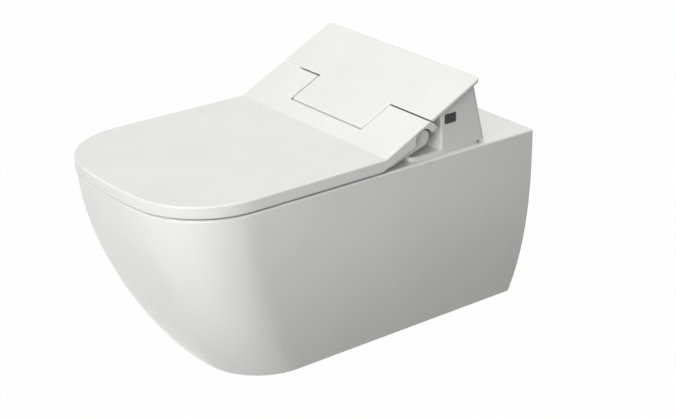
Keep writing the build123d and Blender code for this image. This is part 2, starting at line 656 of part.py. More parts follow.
def rear_housing():
    """Side, back and front walls of the seat unit, with the hinge bearings and the wall openings."""
    walls = housing_body(0.0) & under_cover(NOSE_FRONT_Y)
    corner = [e for e in walls.edges().filter_by(Axis.Z) if abs(e.center().X) > HOUSING_HALF_WIDTH - 1]
    corner = [e for e in corner if abs(e.center().Y - HOUSING_FRONT_Y) < 1]
    walls = fillet(corner, 4.0)
    walls -= housing_body(HOUSING_WALL)
    for side in (-1, 1):
        inner = NOSE_HALF_WIDTH - HOUSING_WALL - BEARING_LENGTH
        outer = NOSE_HALF_WIDTH - HOUSING_WALL / 2
        ends = sorted((side * inner, side * outer))
        walls += rod_x(ends[0], ends[1], PIVOT_Y, PIVOT_Z, SHAFT_RADIUS + 4)
    reach = NOSE_HALF_WIDTH + 10
    walls -= rod_x(-reach, reach, PIVOT_Y, PIVOT_Z, SHAFT_RADIUS + SHAFT_GAP)
    walls -= wand_channel(GUIDE_RADIUS + SLIDE_GAP, 40)
    walls -= window_plate(SLIDE_GAP / 2)
    half = BUTTON_LENGTH / 2 + SLIDE_GAP
    tall = BUTTON_HEIGHT / 2 + SLIDE_GAP
    wall_x = -HOUSING_HALF_WIDTH
    walls -= block(
        wall_x - 1, wall_x + 4, LATCH_Y - half, LATCH_Y + half, BUTTON_Z - tall, BUTTON_Z + tall
    )
    shank = INLET_SHANK_RADIUS + SLIDE_GAP
    walls -= rod_y(INLET_FACE_Y - 24, INLET_FACE_Y, INLET_X, INLET_Z, shank)
    return walls - rod_y(GLAND_FACE_Y - 16, GLAND_FACE_Y, GLAND_X, GLAND_Z, GLAND_RADIUS + SLIDE_GAP)


def unit_pan():
    """Floor of the seat unit with posts for the board, a way for the wand guide and the latch slot."""
    floor = housing_body(HOUSING_WALL + SEATED_GAP)
    wide = HOUSING_HALF_WIDTH + 10
    floor = floor & block(-wide, wide, NOSE_FRONT_Y - 1, 0, UNIT_Z, FLOOR_Z)
    for x in (BOARD_LEFT + POST_INSET, BOARD_RIGHT - POST_INSET):
        for y in (BOARD_FRONT_Y + POST_INSET, BOARD_REAR_Y - POST_INSET):
            floor += rod_z(UNIT_Z, BOARD_Z, x, y, POST_RADIUS)
    floor -= wand_channel(GUIDE_RADIUS + SLIDE_GAP / 3, 120)
    floor -= latch_pocket(UNIT_Z - 1)
    for side in (-1, 1):
        bolt_x = side * SEAT_BOLT_SPACING / 2
        floor -= rod_z(UNIT_Z - 1, FLOOR_Z + 1, bolt_x, SEAT_BOLT_Y, SEAT_BOLT_RADIUS + 2)
    return floor


def top_cover():
    """Sloping cover plate with a tongue between the lid's ears."""
    front = TONGUE_FRONT_Y - 5
    rear = COVER_REAR_Y + 5
    slab = side_profile(
        [
            (front, cover_under(front)),
            (rear, cover_under(rear)),
            (rear, cover_top(rear)),
            (front, cover_top(front)),
        ],
        -COVER_HALF_WIDTH,
        COVER_HALF_WIDTH,
    )
    wing_front = PIVOT_Y
    wing = Pos(0, (COVER_REAR_Y + wing_front) / 2, 0) * Rectangle(
        2 * COVER_HALF_WIDTH, COVER_REAR_Y - wing_front
    )
    tall = 2 * (RIM_Z + COVER_REAR_HEIGHT)
    wing = extrude(wing, amount=tall)
    wing = fillet(wing.edges().filter_by(Axis.Z).group_by(Axis.Y)[-1], COVER_CORNER)
    for side in (-1, 1):
        ends = sorted((side * TONGUE_HALF_WIDTH, side * (COVER_HALF_WIDTH + 2)))
        wing -= rod_x(ends[0], ends[1], PIVOT_Y, PIVOT_Z, COVER_SEAM_RADIUS)
        wing -= block(ends[0], ends[1], PIVOT_Y - 5, PIVOT_Y + 2, 0, tall)
    tongue = Pos(0, (TONGUE_FRONT_Y + COVER_SEAM_Y) / 2, 0) * Rectangle(
        2 * TONGUE_HALF_WIDTH, COVER_SEAM_Y - TONGUE_FRONT_Y
    )
    tongue = extrude(tongue, amount=tall)
    tongue = fillet(tongue.edges().filter_by(Axis.Z).group_by(Axis.Y)[0], 4.0)
    plate = slab & (wing + tongue)
    top = max(plate.faces(), key=lambda f: f.area * (f.normal_at().Z > 0.5))
    return fillet(top.edges(), COVER_ROUND)


def window_plate(grow=0.0):
    """Plate of the sensor window in the right side wall, larger all round by a gap."""
    inner = HOUSING_HALF_WIDTH - HOUSING_WALL - grow
    flat = Plane(origin=(inner, WINDOW_Y, WINDOW_Z), x_dir=(0, 1, 0), z_dir=(1, 0, 0))
    outline = RectangleRounded(WINDOW_LENGTH + 2 * grow, WINDOW_HEIGHT + 2 * grow, 2 + grow)
    return extrude(flat * outline, amount=HOUSING_WALL + 0.3 + 2 * grow)


def ir_receiver():
    """Receiver for the remote control, behind the window."""
    back = HOUSING_HALF_WIDTH - HOUSING_WALL
    eye_x = back - RECEIVER_EYE_DEPTH
    rear_x = back - RECEIVER_DEPTH
    board = block(rear_x, eye_x, WINDOW_Y - 12, WINDOW_Y + 12, WINDOW_Z - 9, WINDOW_Z + 9)
    eye = block(eye_x, back, WINDOW_Y - 4, WINDOW_Y + 4, WINDOW_Z - 3.5, WINDOW_Z + 3.5)
    return board + eye


def lid_plan(inset, z0, z1):
    """Plan outline of the lid as a tall prism."""
    face = plan_face(
        LID_HALF_WIDTH - inset, -LID_FRONT_Y - inset, PAN_CORNER - inset, z0, COVER_SEAM_Y + 30
    )
    return extrude(face, amount=z1 - z0)


def lid_profile(drop):
    """Side outline of the lid's top as (y, z) points, moved down by a drop."""
    rear = PIVOT_Y + LID_SEAM_RADIUS
    crease_z = RIM_Z + LID_TOP_HEIGHT - drop
    bend = CREASE_Y - drop * tan(radians(COVER_SLOPE) / 2)
    return [(bend, crease_z), (rear, cover_top(rear) - drop / SLOPE_COS)]


def lid():
    """Lid: a thin flat plate with a skirt, folded up behind into two ears beside the cover's tongue."""
    low = RIM_Z + LID_SKIRT_HEIGHT
    top = lid_profile(0.0)
    under = lid_profile(LID_PLATE)
    front = LID_FRONT_Y - 5
    rear = top[1][0]
    hinge_y = PIVOT_Y - LID_CUTOUT_RADIUS
    skirt_depth = LID_TOP_HEIGHT - LID_SKIRT_HEIGHT
    half = LID_HALF_WIDTH + 5
    turn_z = cover_top(hinge_y) - skirt_depth - 3
    outside = side_profile(
        [
            (front, low),
            (LID_SKIRT_TURN_Y, low),
            (hinge_y, turn_z),
            (rear, turn_z + (rear - hinge_y) * SLOPE_TAN),
            top[1],
            top[0],
            (front, top[0][1] - LID_TOP_FALL),
        ],
        -half,
        half,
    )
    tall = cover_top(rear) + 20
    shell = outside & lid_plan(0.0, low - 5, tall)
    top_faces = [f for f in shell.faces() if f.normal_at().Z > 0.8]
    rim = [e for f in top_faces for e in f.edges() if is_outer_edge(e)]
    shell = fillet(rim, LID_ROUND)
    inside = side_profile(
        [
            (front, low - 5),
            (rear + 5, low - 5),
            (rear + 5, under[1][1] + 5 * SLOPE_TAN),
            under[0],
            (front, under[0][1] - LID_TOP_FALL),
        ],
        -half,
        half,
    )
    shell -= inside & lid_plan(LID_WALL, low - 10, tall)
    boss_room = rod_x(-half, half, PIVOT_Y, PIVOT_Z, LID_CUTOUT_RADIUS)
    shell -= boss_room - slope_slab(LID_PLATE)
    for side in (-1, 1):
        shell += lid_lug(side)
    notch = TONGUE_HALF_WIDTH + SEAM
    shell -= block(-notch, notch, TONGUE_FRONT_Y - SEAM, rear + 20, low - 20, tall)
    keep = rod_x(-half, half, PIVOT_Y, PIVOT_Z, LID_SEAM_RADIUS)
    keep += block(-half, half, front - 5, PIVOT_Y, low - 20, tall)
    shell = shell & keep
    for side in (-1, 1):
        gap = SEATED_GAP if side > 0 else SHAFT_GAP
        ends = sorted((side * (LID_LUG_INNER - 5), side * (LID_LUG_INNER + LID_LUG_WIDTH + 5)))
        shell -= rod_x(ends[0], ends[1], PIVOT_Y, PIVOT_Z, SHAFT_RADIUS + gap)
    return shell


def is_outer_edge(edge):
    """True for an edge on the lid's outer side, not for the crease or the rear ends."""
    middle = edge @ 0.5
    if abs(middle.X) > LID_HALF_WIDTH - 1:
        return middle.Y < PIVOT_Y + LID_SEAM_RADIUS - 2
    return middle.Y < CREASE_Y - 60


def slope_slab(thickness):
    """The lid's plate along the cover's plane, as a wide slab."""
    front = PIVOT_Y - 60
    rear = PIVOT_Y + 60
    drop = thickness / SLOPE_COS
    half = LID_HALF_WIDTH + 6
    return side_profile(
        [
            (front, cover_top(front) - drop),
            (rear, cover_top(rear) - drop),
            (rear, cover_top(rear) + 5),
            (front, cover_top(front) + 5),
        ],
        -half,
        half,
    )


def lid_lug(side):
    """Hinge eye under one ear of the lid, joined to the plate by a web."""
    ends = sorted((side * LID_LUG_INNER, side * (LID_LUG_INNER + LID_LUG_WIDTH)))
    lug = rod_x(ends[0], ends[1], PIVOT_Y, PIVOT_Z, LID_LUG_RADIUS)
    middle = (ends[0] + ends[1]) / 2
    height = PIVOT_DEPTH - LID_PLATE + 0.5
    web = Pos(0, 0, height / 2) * Box(LID_LUG_WIDTH, 1.6 * LID_LUG_RADIUS, height)
    return lug + Pos(middle, PIVOT_Y, PIVOT_Z) * Rot(COVER_SLOPE, 0, 0) * web


def seat_ring():
    """Seat ring with an oval opening and two arms that rise to the hinge."""
    inset = LID_WALL + SEAT_SIDE_GAP
    face = plan_face(
        SEAT_HALF_WIDTH, -LID_FRONT_Y - inset, PAN_CORNER - inset, SEAT_LOW_Z, SEAT_REAR_Y
    )
    ring = extrude(face, amount=SEAT_THICKNESS)
    upright = ring.edges().filter_by(Axis.Z).group_by(Axis.Y)[-1]
    ring = fillet(upright, SEAT_REAR_CORNER)
    centre = SEAT_OPENING_REAR_Y - SEAT_OPENING_LENGTH / 2
    opening = Pos(0, centre, SEAT_LOW_Z - 1) * Ellipse(
        SEAT_OPENING_HALF_WIDTH, SEAT_OPENING_LENGTH / 2
    )
    ring -= extrude(opening, amount=SEAT_THICKNESS + 2)
    ring = fillet(ring.faces().sort_by(Axis.Z)[-1].edges(), SEAT_ROUND)
    for side in (-1, 1):
        ring += seat_arm(side)
    groove = RACK_PITCH_HEIGHT + GEAR_MODULE + RACK_GROOVE_GAP
    ring -= wand_channel(groove, 100)
    for side in (-1, 1):
        clear = SEATED_GAP if side < 0 else SHAFT_GAP
        ends = sorted((0, side * (SHAFT_END + 0.3)))
        ring -= rod_x(ends[0], ends[1], PIVOT_Y, PIVOT_Z, SHAFT_RADIUS + clear)
    return ring


def seat_arm(side):
    """Drop-shaped arm from the ring up to the hinge eye."""
    foot = 4.8
    foot_y = SEAT_REAR_Y - 12
    foot_z = SEAT_LOW_Z + foot
    outline = make_hull(
        (Pos(PIVOT_Y, PIVOT_Z) * Circle(SEAT_BOSS_RADIUS)).edges()
        + (Pos(foot_y, foot_z) * Circle(foot)).edges()
    )
    turned = Plane(origin=(0, 0, 0), x_dir=(0, 1, 0), z_dir=(1, 0, 0))
    arm = extrude(turned * outline, amount=SEAT_ARM_WIDTH)
    start = SEAT_HALF_WIDTH - SEAT_ARM_WIDTH if side > 0 else -SEAT_HALF_WIDTH
    return arm.moved(Pos(start, 0, 0))


def hinge_shaft(side):
    """Hinge shaft of one side, from its damper out to the seat arm, with a flat for the damper."""
    inner = DAMPER_END + 10
    ends = sorted((side * inner, side * SHAFT_END))
    return rod_x(ends[0], ends[1], PIVOT_Y, PIVOT_Z, SHAFT_RADIUS)


def damper(side):
    """Oil damper that slows the closing of the lid or the seat ring."""
    ends = sorted((side * DAMPER_END, side * (DAMPER_END + DAMPER_LENGTH)))
    barrel = rod_x(ends[0], ends[1], PIVOT_Y, PIVOT_Z, DAMPER_RADIUS)
    barrel = chamfer(barrel.edges(), 1.0)
    ends = sorted((side * (DAMPER_END + 9), side * (DAMPER_END + DAMPER_LENGTH + 1)))
    return barrel - rod_x(ends[0], ends[1], PIVOT_Y, PIVOT_Z, SHAFT_RADIUS + SHAFT_GAP)


def buffer(x, y, low, high, length, width):
    """Rubber foot with rounded ends."""
    return extrude(Pos(x, y, low) * SlotOverall(length, width, rotation=90), amount=high - low)


def gear_points(teeth, module, thin):
    """Outline of a spur gear with involute flanks, each tooth thinned on its pitch circle."""
    pitch = module * teeth / 2
    base = pitch * cos(radians(20))
    tip = pitch + module
    root = pitch - 1.25 * module
    involute = tan(radians(20)) - radians(20)
    half = (pi / 2 - thin / module) / teeth
    flank = []
    for step in range(5):
        radius = base + (tip - base) * step / 4
        angle = acos(base / radius)
        flank.append((radius, half + involute - (tan(angle) - angle)))
    points = []
    for tooth in range(teeth):
        centre = 2 * pi * tooth / teeth - pi / 2
        polar = [(root, -flank[0][1])] + [(r, -a) for r, a in flank]
        polar += [(r, a) for r, a in reversed(flank)] + [(root, flank[0][1])]
        points += [(r * cos(centre + a), r * sin(centre + a)) for r, a in polar]
    return points


def drive_pinion():
    """Pinion that drives the wand's rack, on its own axle."""
    outline = make_face(Polyline(*gear_points(PINION_TEETH, GEAR_MODULE, BACKLASH / 2), close=True))
    turned = Plane(origin=(-PINION_WIDTH / 2, 0, 0), x_dir=(0, 1, 0), z_dir=(1, 0, 0))
    gear = extrude(turned * outline, amount=PINION_WIDTH)
    gear += rod_x(-CHEEK_OUTER, CHEEK_OUTER + 4, 0, 0, PINION_AXLE_RADIUS)
    return wand_place() * (Pos(0, PINION_PLACE, PINION_HEIGHT) * gear)


def rack_points():
    """Side outline of the rack's teeth as (y, z) points, with a gap under the pinion's lowest tooth."""
    pitch = pi * GEAR_MODULE
    slope = tan(radians(20))
    tip = RACK_PITCH_HEIGHT + GEAR_MODULE
    root = RACK_PITCH_HEIGHT - 1.25 * GEAR_MODULE
    first = PINION_PLACE - 1.5 * pitch
    count = int((WAND_STROKE + 4.5 * pitch) / pitch)
    start = WAND_TIP_LENGTH - 2
    points = [(start, WAND_RADIUS - 4), (start, root)]
    for tooth in range(count):
        middle = first + tooth * pitch
        half = pitch / 4 - BACKLASH / 4
        low = half + 1.25 * GEAR_MODULE * slope
        high = half - GEAR_MODULE * slope
        points += [(middle - low, root), (middle - high, tip)]
        points += [(middle + high, tip), (middle + low, root)]
    end = first + count * pitch
    return points + [(end, root), (end, WAND_RADIUS - 4)]


def spray_wand():
    """Wand tube with the rack along its back and the water bore."""
    tube = rod_y(WAND_TIP_LENGTH - 2, WAND_TIP_LENGTH - 2 + WAND_LENGTH, 0, 0, WAND_RADIUS)
    tube += side_profile(rack_points(), -RACK_WIDTH / 2, RACK_WIDTH / 2)
    tube -= rod_y(WAND_TIP_LENGTH, WAND_LENGTH + WAND_TIP_LENGTH, 0, 0, WAND_BORE_RADIUS)
    return wand_place() * tube


def nozzle_tip():
    """Front end of the wand with three spray holes on top."""
    tip = rod_y(-2, WAND_TIP_LENGTH - 2, 0, 0, WAND_RADIUS)
    tip = fillet(tip.edges().group_by(Axis.Y)[0], 4.0)
    for x, y in ((0, 4.5), (-2.2, 8.0), (2.2, 8.0)):
        tip -= rod_z(3, WAND_RADIUS + 1, x, y, 0.8)
    return wand_place() * tip


def wand_guide():
    """Guide tube with a slot for the rack and two cheeks that carry the pinion and its motor."""
    tube = rod_y(0, GUIDE_LENGTH, 0, 0, GUIDE_RADIUS)
    for side in (-1, 1):
        ends = sorted((side * CHEEK_INNER, side * CHEEK_OUTER))
        tube += block(ends[0], ends[1], PINION_PLACE - 9, PINION_PLACE + 9, 2, PINION_HEIGHT + 7)
    tube -= rod_y(-1, GUIDE_LENGTH + 1, 0, 0, WAND_RADIUS + SLIDE_GAP)
    slot = RACK_WIDTH / 2 + SLIDE_GAP
    tube -= block(-slot, slot, -1, GUIDE_LENGTH + 1, 2, GUIDE_RADIUS + 1)
    bore = PINION_AXLE_RADIUS + SHAFT_GAP
    tube -= rod_x(-20, 20, PINION_PLACE, PINION_HEIGHT, bore)
    tube = wand_place() * tube
    wide = GUIDE_RADIUS + 2
    return tube - block(-wide, wide, WAND_MOUTH_Y - 30, NOSE_FRONT_Y, 0, 2 * RIM_Z)


def wand_motor():
    """Stepper motor that turns the pinion."""
    body = rod_x(CHEEK_OUTER, CHEEK_OUTER + MOTOR_LENGTH, 0, 0, MOTOR_RADIUS)
    body = chamfer(body.edges().group_by(Axis.X)[-1], 0.8)
    body -= rod_x(CHEEK_OUTER - 1, CHEEK_OUTER + 6, 0, 0, PINION_AXLE_RADIUS + SHAFT_GAP)
    return wand_place() * (Pos(0, PINION_PLACE, PINION_HEIGHT) * body)


def feed_manifold():
    """Rear end of the guide with the fixed feed tube that slides inside the wand."""
    block_y = GUIDE_LENGTH
    body = block(-11, 11, block_y, block_y + 6, -8, 8)
    body = chamfer(body.edges().filter_by(Axis.Y), 1.5)
    body += rod_y(30, block_y + 1, 0, 0, FEED_RADIUS)
    body -= rod_y(29, block_y + 3, 0, 0, 1.4)
    return wand_place() * body


def water_inlet():
    """Brass nipple for the supply hose, with a slimmer shank through the back wall."""
    shoulder = INLET_FACE_Y - INLET_THREAD_LENGTH
    inner = INLET_FACE_Y - INLET_LENGTH
    nipple = rod_y(shoulder, INLET_FACE_Y, INLET_X, INLET_Z, INLET_RADIUS)
    nipple = chamfer(nipple.edges().group_by(Axis.Y)[-1], 1.0)
    nipple += rod_y(inner, shoulder, INLET_X, INLET_Z, INLET_SHANK_RADIUS)
    return nipple - rod_y(inner - 1, INLET_FACE_Y + 1, INLET_X, INLET_Z, INLET_BORE_RADIUS)


def solenoid_valve():
    """Shut-off valve on the inlet, with its coil on top."""
    rear = INLET_FACE_Y - INLET_LENGTH
    half = VALVE_WIDTH / 2
    body = block(
        INLET_X - half, INLET_X + half, rear - VALVE_LENGTH, rear, FLOOR_Z, INLET_Z + VALVE_RISE
    )
    body = chamfer(body.edges().filter_by(Axis.Z), 3)
    coil_y = rear - VALVE_LENGTH / 2 - 1
    body += rod_z(INLET_Z + VALVE_RISE - 1, INLET_Z + COIL_RISE, INLET_X, coil_y, COIL_RADIUS)
    return body - rod_y(rear - 10, rear + 1, INLET_X, INLET_Z, INLET_BORE_RADIUS)


def flow_heater():
    """Instant water heater with a finned body and a pipe stub."""
    body = block(HEATER_LEFT, HEATER_RIGHT, HEATER_FRONT_Y, HEATER_REAR_Y, FLOOR_Z, HEATER_TOP_Z)
    body = fillet(body.edges().filter_by(Axis.X), 5)
    half = FIN_SLOT / 2
    for number in range(HEATER_FINS):
        x = HEATER_LEFT + FIN_PITCH * (number + 1)
        front = HEATER_FRONT_Y - 2
        body -= block(x - half, x + half, front, front + 4.5, FLOOR_Z + 6, HEATER_TOP_Z - 6)
    low = HEATER_TOP_Z - 1
    return body + rod_z(low, HEATER_PIPE_Z, HEATER_PIPE_X, HEATER_PIPE_Y, HEATER_PIPE_RADIUS)


def cold_hose():
    """Short hose from the valve to the heater."""
    start = INLET_X + VALVE_WIDTH / 2
    hose = rod_x(start, HEATER_LEFT, COLD_HOSE_Y, COLD_HOSE_Z, COLD_HOSE_RADIUS)
    bore = COLD_HOSE_BORE_RADIUS
    return hose - rod_x(start - 1, HEATER_LEFT + 1, COLD_HOSE_Y, COLD_HOSE_Z, bore)


def warm_hose():
    """Hose from the heater up to the manifold behind the wand."""
    place = wand_place() * Pos(-11, GUIDE_LENGTH + 3, 0)
    end = place.position
    turn_z = end.Z
    path = FilletPolyline(
        (HEATER_PIPE_X, HEATER_PIPE_Y, HEATER_PIPE_Z),
        (HEATER_PIPE_X, HEATER_PIPE_Y, turn_z + 2),
        (HEATER_PIPE_X + 22, end.Y, turn_z),
        (end.X, end.Y, end.Z),
        radius=5,
    )
    return sweep(Plane(origin=path @ 0, z_dir=path % 0) * Circle(WARM_HOSE_RADIUS), path=path)


def control_board():
    """Circuit board on four posts, with a processor, a relay and a row of sockets."""
    top = BOARD_Z + BOARD_THICKNESS
    board = block(BOARD_LEFT, BOARD_RIGHT, BOARD_FRONT_Y, BOARD_REAR_Y, BOARD_Z, top)
    board += block(60, 76, -150, -134, top, top + 1.6)
    board += block(96, 116, -152, -140, top, top + 11.4)
    for number in range(SOCKET_COUNT):
        x = BOARD_LEFT + 16 + SOCKET_PITCH * number
        front = BOARD_FRONT_Y + 4
        board += block(x, x + SOCKET_WIDTH, front, front + 7, top, top + 6.4)
    return board


def power_supply():
    """Power supply in its moulded case."""
    case = block(SUPPLY_LEFT, SUPPLY_RIGHT, SUPPLY_FRONT_Y, SUPPLY_REAR_Y, FLOOR_Z, RIM_Z + SUPPLY_RISE)
    return fillet(case.edges().filter_by(Axis.Z), 3)


def cable_gland():
    """Gland in the back wall for the supply cord."""
    inner = GLAND_FACE_Y - GLAND_LENGTH
    gland = rod_y(inner, GLAND_FACE_Y, GLAND_X, GLAND_Z, GLAND_RADIUS)
    gland = chamfer(gland.edges().group_by(Axis.Y)[-1], 1.2)
    gland += rod_y(inner, inner + 4, GLAND_X, GLAND_Z, GLAND_RADIUS + GLAND_FLANGE)
    return gland - rod_y(inner - 1, GLAND_FACE_Y + 1, GLAND_X, GLAND_Z, GLAND_BORE_RADIUS)


def fan_casing():
    """Casing of the odour fan: a cup with an inlet ring on top and a pin for the rotor."""
    high = FLOOR_Z + FAN_HEIGHT
    left = FAN_X + FAN_RADIUS - FAN_WALL - FAN_DUCT_WIDTH
    right = left + FAN_DUCT_WIDTH
    end = FAN_Y + FAN_DUCT_LENGTH
    casing = rod_z(FLOOR_Z, high, FAN_X, FAN_Y, FAN_RADIUS)
    casing += block(left, right, FAN_Y, end, FLOOR_Z, high)
    floor = FLOOR_Z + FAN_WALL
    roof = high - FAN_WALL
    casing -= rod_z(floor, roof, FAN_X, FAN_Y, FAN_RADIUS - FAN_WALL)
    casing -= rod_z(roof - 1, high + 1, FAN_X, FAN_Y, FAN_INTAKE_RADIUS)
    casing -= block(left + FAN_WALL, right - FAN_WALL, FAN_Y, end + 1, floor, roof)
    return casing + rod_z(FLOOR_Z + 1, FLOOR_Z + 12, FAN_X, FAN_Y, FAN_PIN_RADIUS)


def fan_rotor():
    """Rotor of the odour fan: a hub and disc with curved blades."""
    low = FLOOR_Z + 3
    rotor = rod_z(low, low + 2, 0, 0, ROTOR_RADIUS)
    rotor += rod_z(low, low + 11, 0, 0, ROTOR_HUB_RADIUS)
    arc = ThreePointArc((7.2, 0), (13, 3.4), (19, 3.0))
    blade = extrude(trace(arc, line_width=BLADE_THICKNESS), amount=BLADE_HEIGHT)
    blade = blade.moved(Pos(0, 0, low + 1.5))
    for number in range(ROTOR_BLADES):
        rotor += Rot(0, 0, 360 / ROTOR_BLADES * number) * blade
    rotor -= rod_z(low - 1, low + 9.6, 0, 0, FAN_PIN_RADIUS + SHAFT_GAP)
    return Pos(FAN_X, FAN_Y, 0) * rotor


def parts():
    """All nodes by name."""
    nodes = {
        "ceramic_bowl": ceramic_bowl(),
        "base_plate": base_plate(),
        "unit_pan": unit_pan(),
        "rear_housing": rear_housing(),
        "top_cover": top_cover(),
        "sensor_window": window_plate(),
        "ir_receiver": ir_receiver(),
        "release_button": release_button(),
        "lid": lid(),
        "seat_ring": seat_ring(),
        "lid_shaft": hinge_shaft(1),
        "seat_shaft": hinge_shaft(-1),
        "lid_damper": damper(1),
        "seat_damper": damper(-1),
        "wand_guide": wand_guide(),
        "spray_wand": spray_wand(),
        "nozzle_tip": nozzle_tip(),
        "feed_manifold": feed_manifold(),
        "drive_pinion": drive_pinion(),
        "wand_motor": wand_motor(),
        "water_inlet": water_inlet(),
        "solenoid_valve": solenoid_valve(),
        "flow_heater": flow_heater(),
        "cold_hose": cold_hose(),
        "warm_hose": warm_hose(),
        "control_board": control_board(),
        "power_supply": power_supply(),
        "cable_gland": cable_gland(),
        "fan_casing": fan_casing(),
        "fan_rotor": fan_rotor(),
    }
    seat_size = (SEAT_BUFFER_LENGTH, SEAT_BUFFER_WIDTH)
    lid_size = (LID_BUFFER_LENGTH, LID_BUFFER_WIDTH)
    places = {"rear": (BUFFER_REAR_X, BUFFER_REAR_Y), "front": (BUFFER_FRONT_X, BUFFER_FRONT_Y)}
    for side, name in ((-1, "left"), (1, "right")):
        nodes[f"fixing_sleeve_{name}"] = fixing_sleeve(side)
        nodes[f"clamp_screw_{name}"] = clamp_screw(side)
        nodes[f"seat_bolt_{name}"] = seat_bolt(side)
        nodes[f"expansion_plug_{name}"] = expansion_plug(side)
        for place, (x, y) in places.items():
            foot = buffer(side * x, y, RIM_Z, SEAT_LOW_Z, *seat_size)
            stop = buffer(side * x, y, SEAT_TOP_Z, LID_UNDER_Z - 1, *lid_size)
            nodes[f"seat_buffer_{place}_{name}"] = foot
            nodes[f"lid_buffer_{place}_{name}"] = stop
    return nodes


os.makedirs("parts", exist_ok=True)
for name, solid in parts().items():
    export_step(solid, f"parts/{name}.step")
    print(name, round(solid.volume / 1000, 2), "cm3", len(solid.solids()), "solid")
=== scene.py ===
# %% [markdown]
# # A wall hung toilet with a washing seat
# The solids come from the CAD part: glazed ceramic, a folded lid, a seat ring and the seat unit's
# housing. This script gives them their finishes, adds the small pieces that the solids leave out,
# and sets up the studio and the camera. All lengths are metres, as Blender counts them: 0.001 is
# a millimetre.

# %% Load the solids
import math

import bmesh
import bpy
from mathutils import Matrix, Vector


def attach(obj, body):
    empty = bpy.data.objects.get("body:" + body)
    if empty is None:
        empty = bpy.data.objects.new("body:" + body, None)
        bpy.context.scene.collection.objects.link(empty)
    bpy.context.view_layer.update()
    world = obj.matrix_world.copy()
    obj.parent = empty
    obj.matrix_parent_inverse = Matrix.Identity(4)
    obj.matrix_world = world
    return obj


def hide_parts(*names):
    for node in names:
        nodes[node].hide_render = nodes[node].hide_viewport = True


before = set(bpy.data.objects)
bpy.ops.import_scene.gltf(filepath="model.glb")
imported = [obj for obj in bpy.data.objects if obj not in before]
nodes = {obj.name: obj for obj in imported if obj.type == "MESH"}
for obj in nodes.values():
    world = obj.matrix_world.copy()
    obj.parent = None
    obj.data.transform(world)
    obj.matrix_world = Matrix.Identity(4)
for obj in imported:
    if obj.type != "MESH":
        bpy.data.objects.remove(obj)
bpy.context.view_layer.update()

# %% [markdown]
# ## Colours
# Colours are written as the hex codes that a picture editor shows. Blender's shaders mix light,
# so they need linear numbers. One function turns the first into the second, and every colour goes
# through it.

# %% Hex codes to linear light
def linear(code):
    """A hex colour such as F2F2F0 as the four linear numbers that a shader takes."""
    parts = [int(code[i : i + 2], 16) / 255 for i in (0, 2, 4)]
    curve = [p / 12.92 if p <= 0.04045 else ((p + 0.055) / 1.055) ** 2.4 for p in parts]
    return (*curve, 1.0)


print("glaze white is", [round(v, 3) for v in linear("F1F1EF")])

# %% [markdown]
# ## Building a material from nodes
# A material is a small network. Typing the same four lines for each node hides what the network
# does, so one function adds a node, sets it up and joins its inputs. An input is named, or
# counted from 0 where several have the same name, and it takes either a plain value or another
# node's output.

# %% Add one node
def add(tree, kind, inputs=None, **settings):
    """A new shader node with its settings, and its inputs set to values or joined to sockets."""
    made = tree.nodes.new("ShaderNode" + kind)
    for name, value in settings.items():
        setattr(made, name, value)
    for name, value in (inputs or {}).items():
        if isinstance(value, bpy.types.NodeSocket):
            tree.links.new(value, made.inputs[name])
        else:
            made.inputs[name].default_value = value
    return made


print("nodes are added by", add.__name__)

# %% [markdown]
# Every finish here starts in the same way: an empty network, the point on the piece in the
# object's own coordinates, and one Principled shader with the values that are the same all over.
# Object coordinates are in metres and ride with the piece, so a pattern stays put when the lid
# opens. A noise seldom leaves the middle of its range, so a ramp from 0.3 to 0.7 uses all of both
# tones.

# %% Start a material
NOISE_LOW, NOISE_HIGH = 0.3, 0.7


def start(name, roughness, ior=1.5, metallic=0.0, colour="FFFFFF"):
    """A named material's tree, its object coordinates and its Principled shader."""
    material = bpy.data.materials.new(name)
    material.use_nodes = True
    tree = material.node_tree
    tree.nodes.clear()
    place = add(tree, "TexCoord").outputs["Object"]
    shader = add(
        tree,
        "BsdfPrincipled",
        {"Roughness": roughness, "IOR": ior, "Metallic": metallic, "Base Color": linear(colour)},
    )
    add(tree, "OutputMaterial", {"Surface": shader.outputs["BSDF"]})
    return tree, place, shader


def waves(length):
    """The noise scale whose lumps are about this many metres apart."""
    return 1 / length


def tint(tree, factor, low, high):
    """A colour between two hex codes, by a factor from 0 to 1."""
    ramp = add(tree, "ValToRGB", {"Fac": factor})
    ramp.color_ramp.elements[0].color = linear(low)
    ramp.color_ramp.elements[1].color = linear(high)
    ramp.color_ramp.elements[0].position = NOISE_LOW
    ramp.color_ramp.elements[1].position = NOISE_HIGH
    return ramp.outputs["Color"]


print("lumps 25 mm apart take a noise scale of", waves(0.025))

# %% [markdown]
# ## Vitreous china
# The bowl is clay that was slip cast, sprayed with a white glaze and fired at about 1200 degrees.
# The glaze is a layer of glass: its reflections are sharp, and they wander a little, because the
# glaze flowed before it set. A noise whose lumps are 25 mm apart gives that in the normals, where
# a picture of it would not fit every curve. Where the wall or the hollow back hides the clay it
# was never sprayed, so it stays matt and creamy. The first half of the material finds that raw
# clay: it is the flat face on the wall, and all that lies inside the hollow, whose two sides draw
# in towards the foot as the skin does.

# %% Find the raw clay
GLAZE_ROUGHNESS = 0.06
TAPER_POWER = 2.575
WALL_SKIN = -0.0006
SKIN_MIDDLE = 0.1745
SIDE_TAPER = 0.0484
PAN_RIM = 0.115
PAN_HEIGHT = 0.29
HOLLOW_FRONT = -0.2095
HOLLOW_TOP = 0.0985
HOLLOW_FLOOR = -0.1695

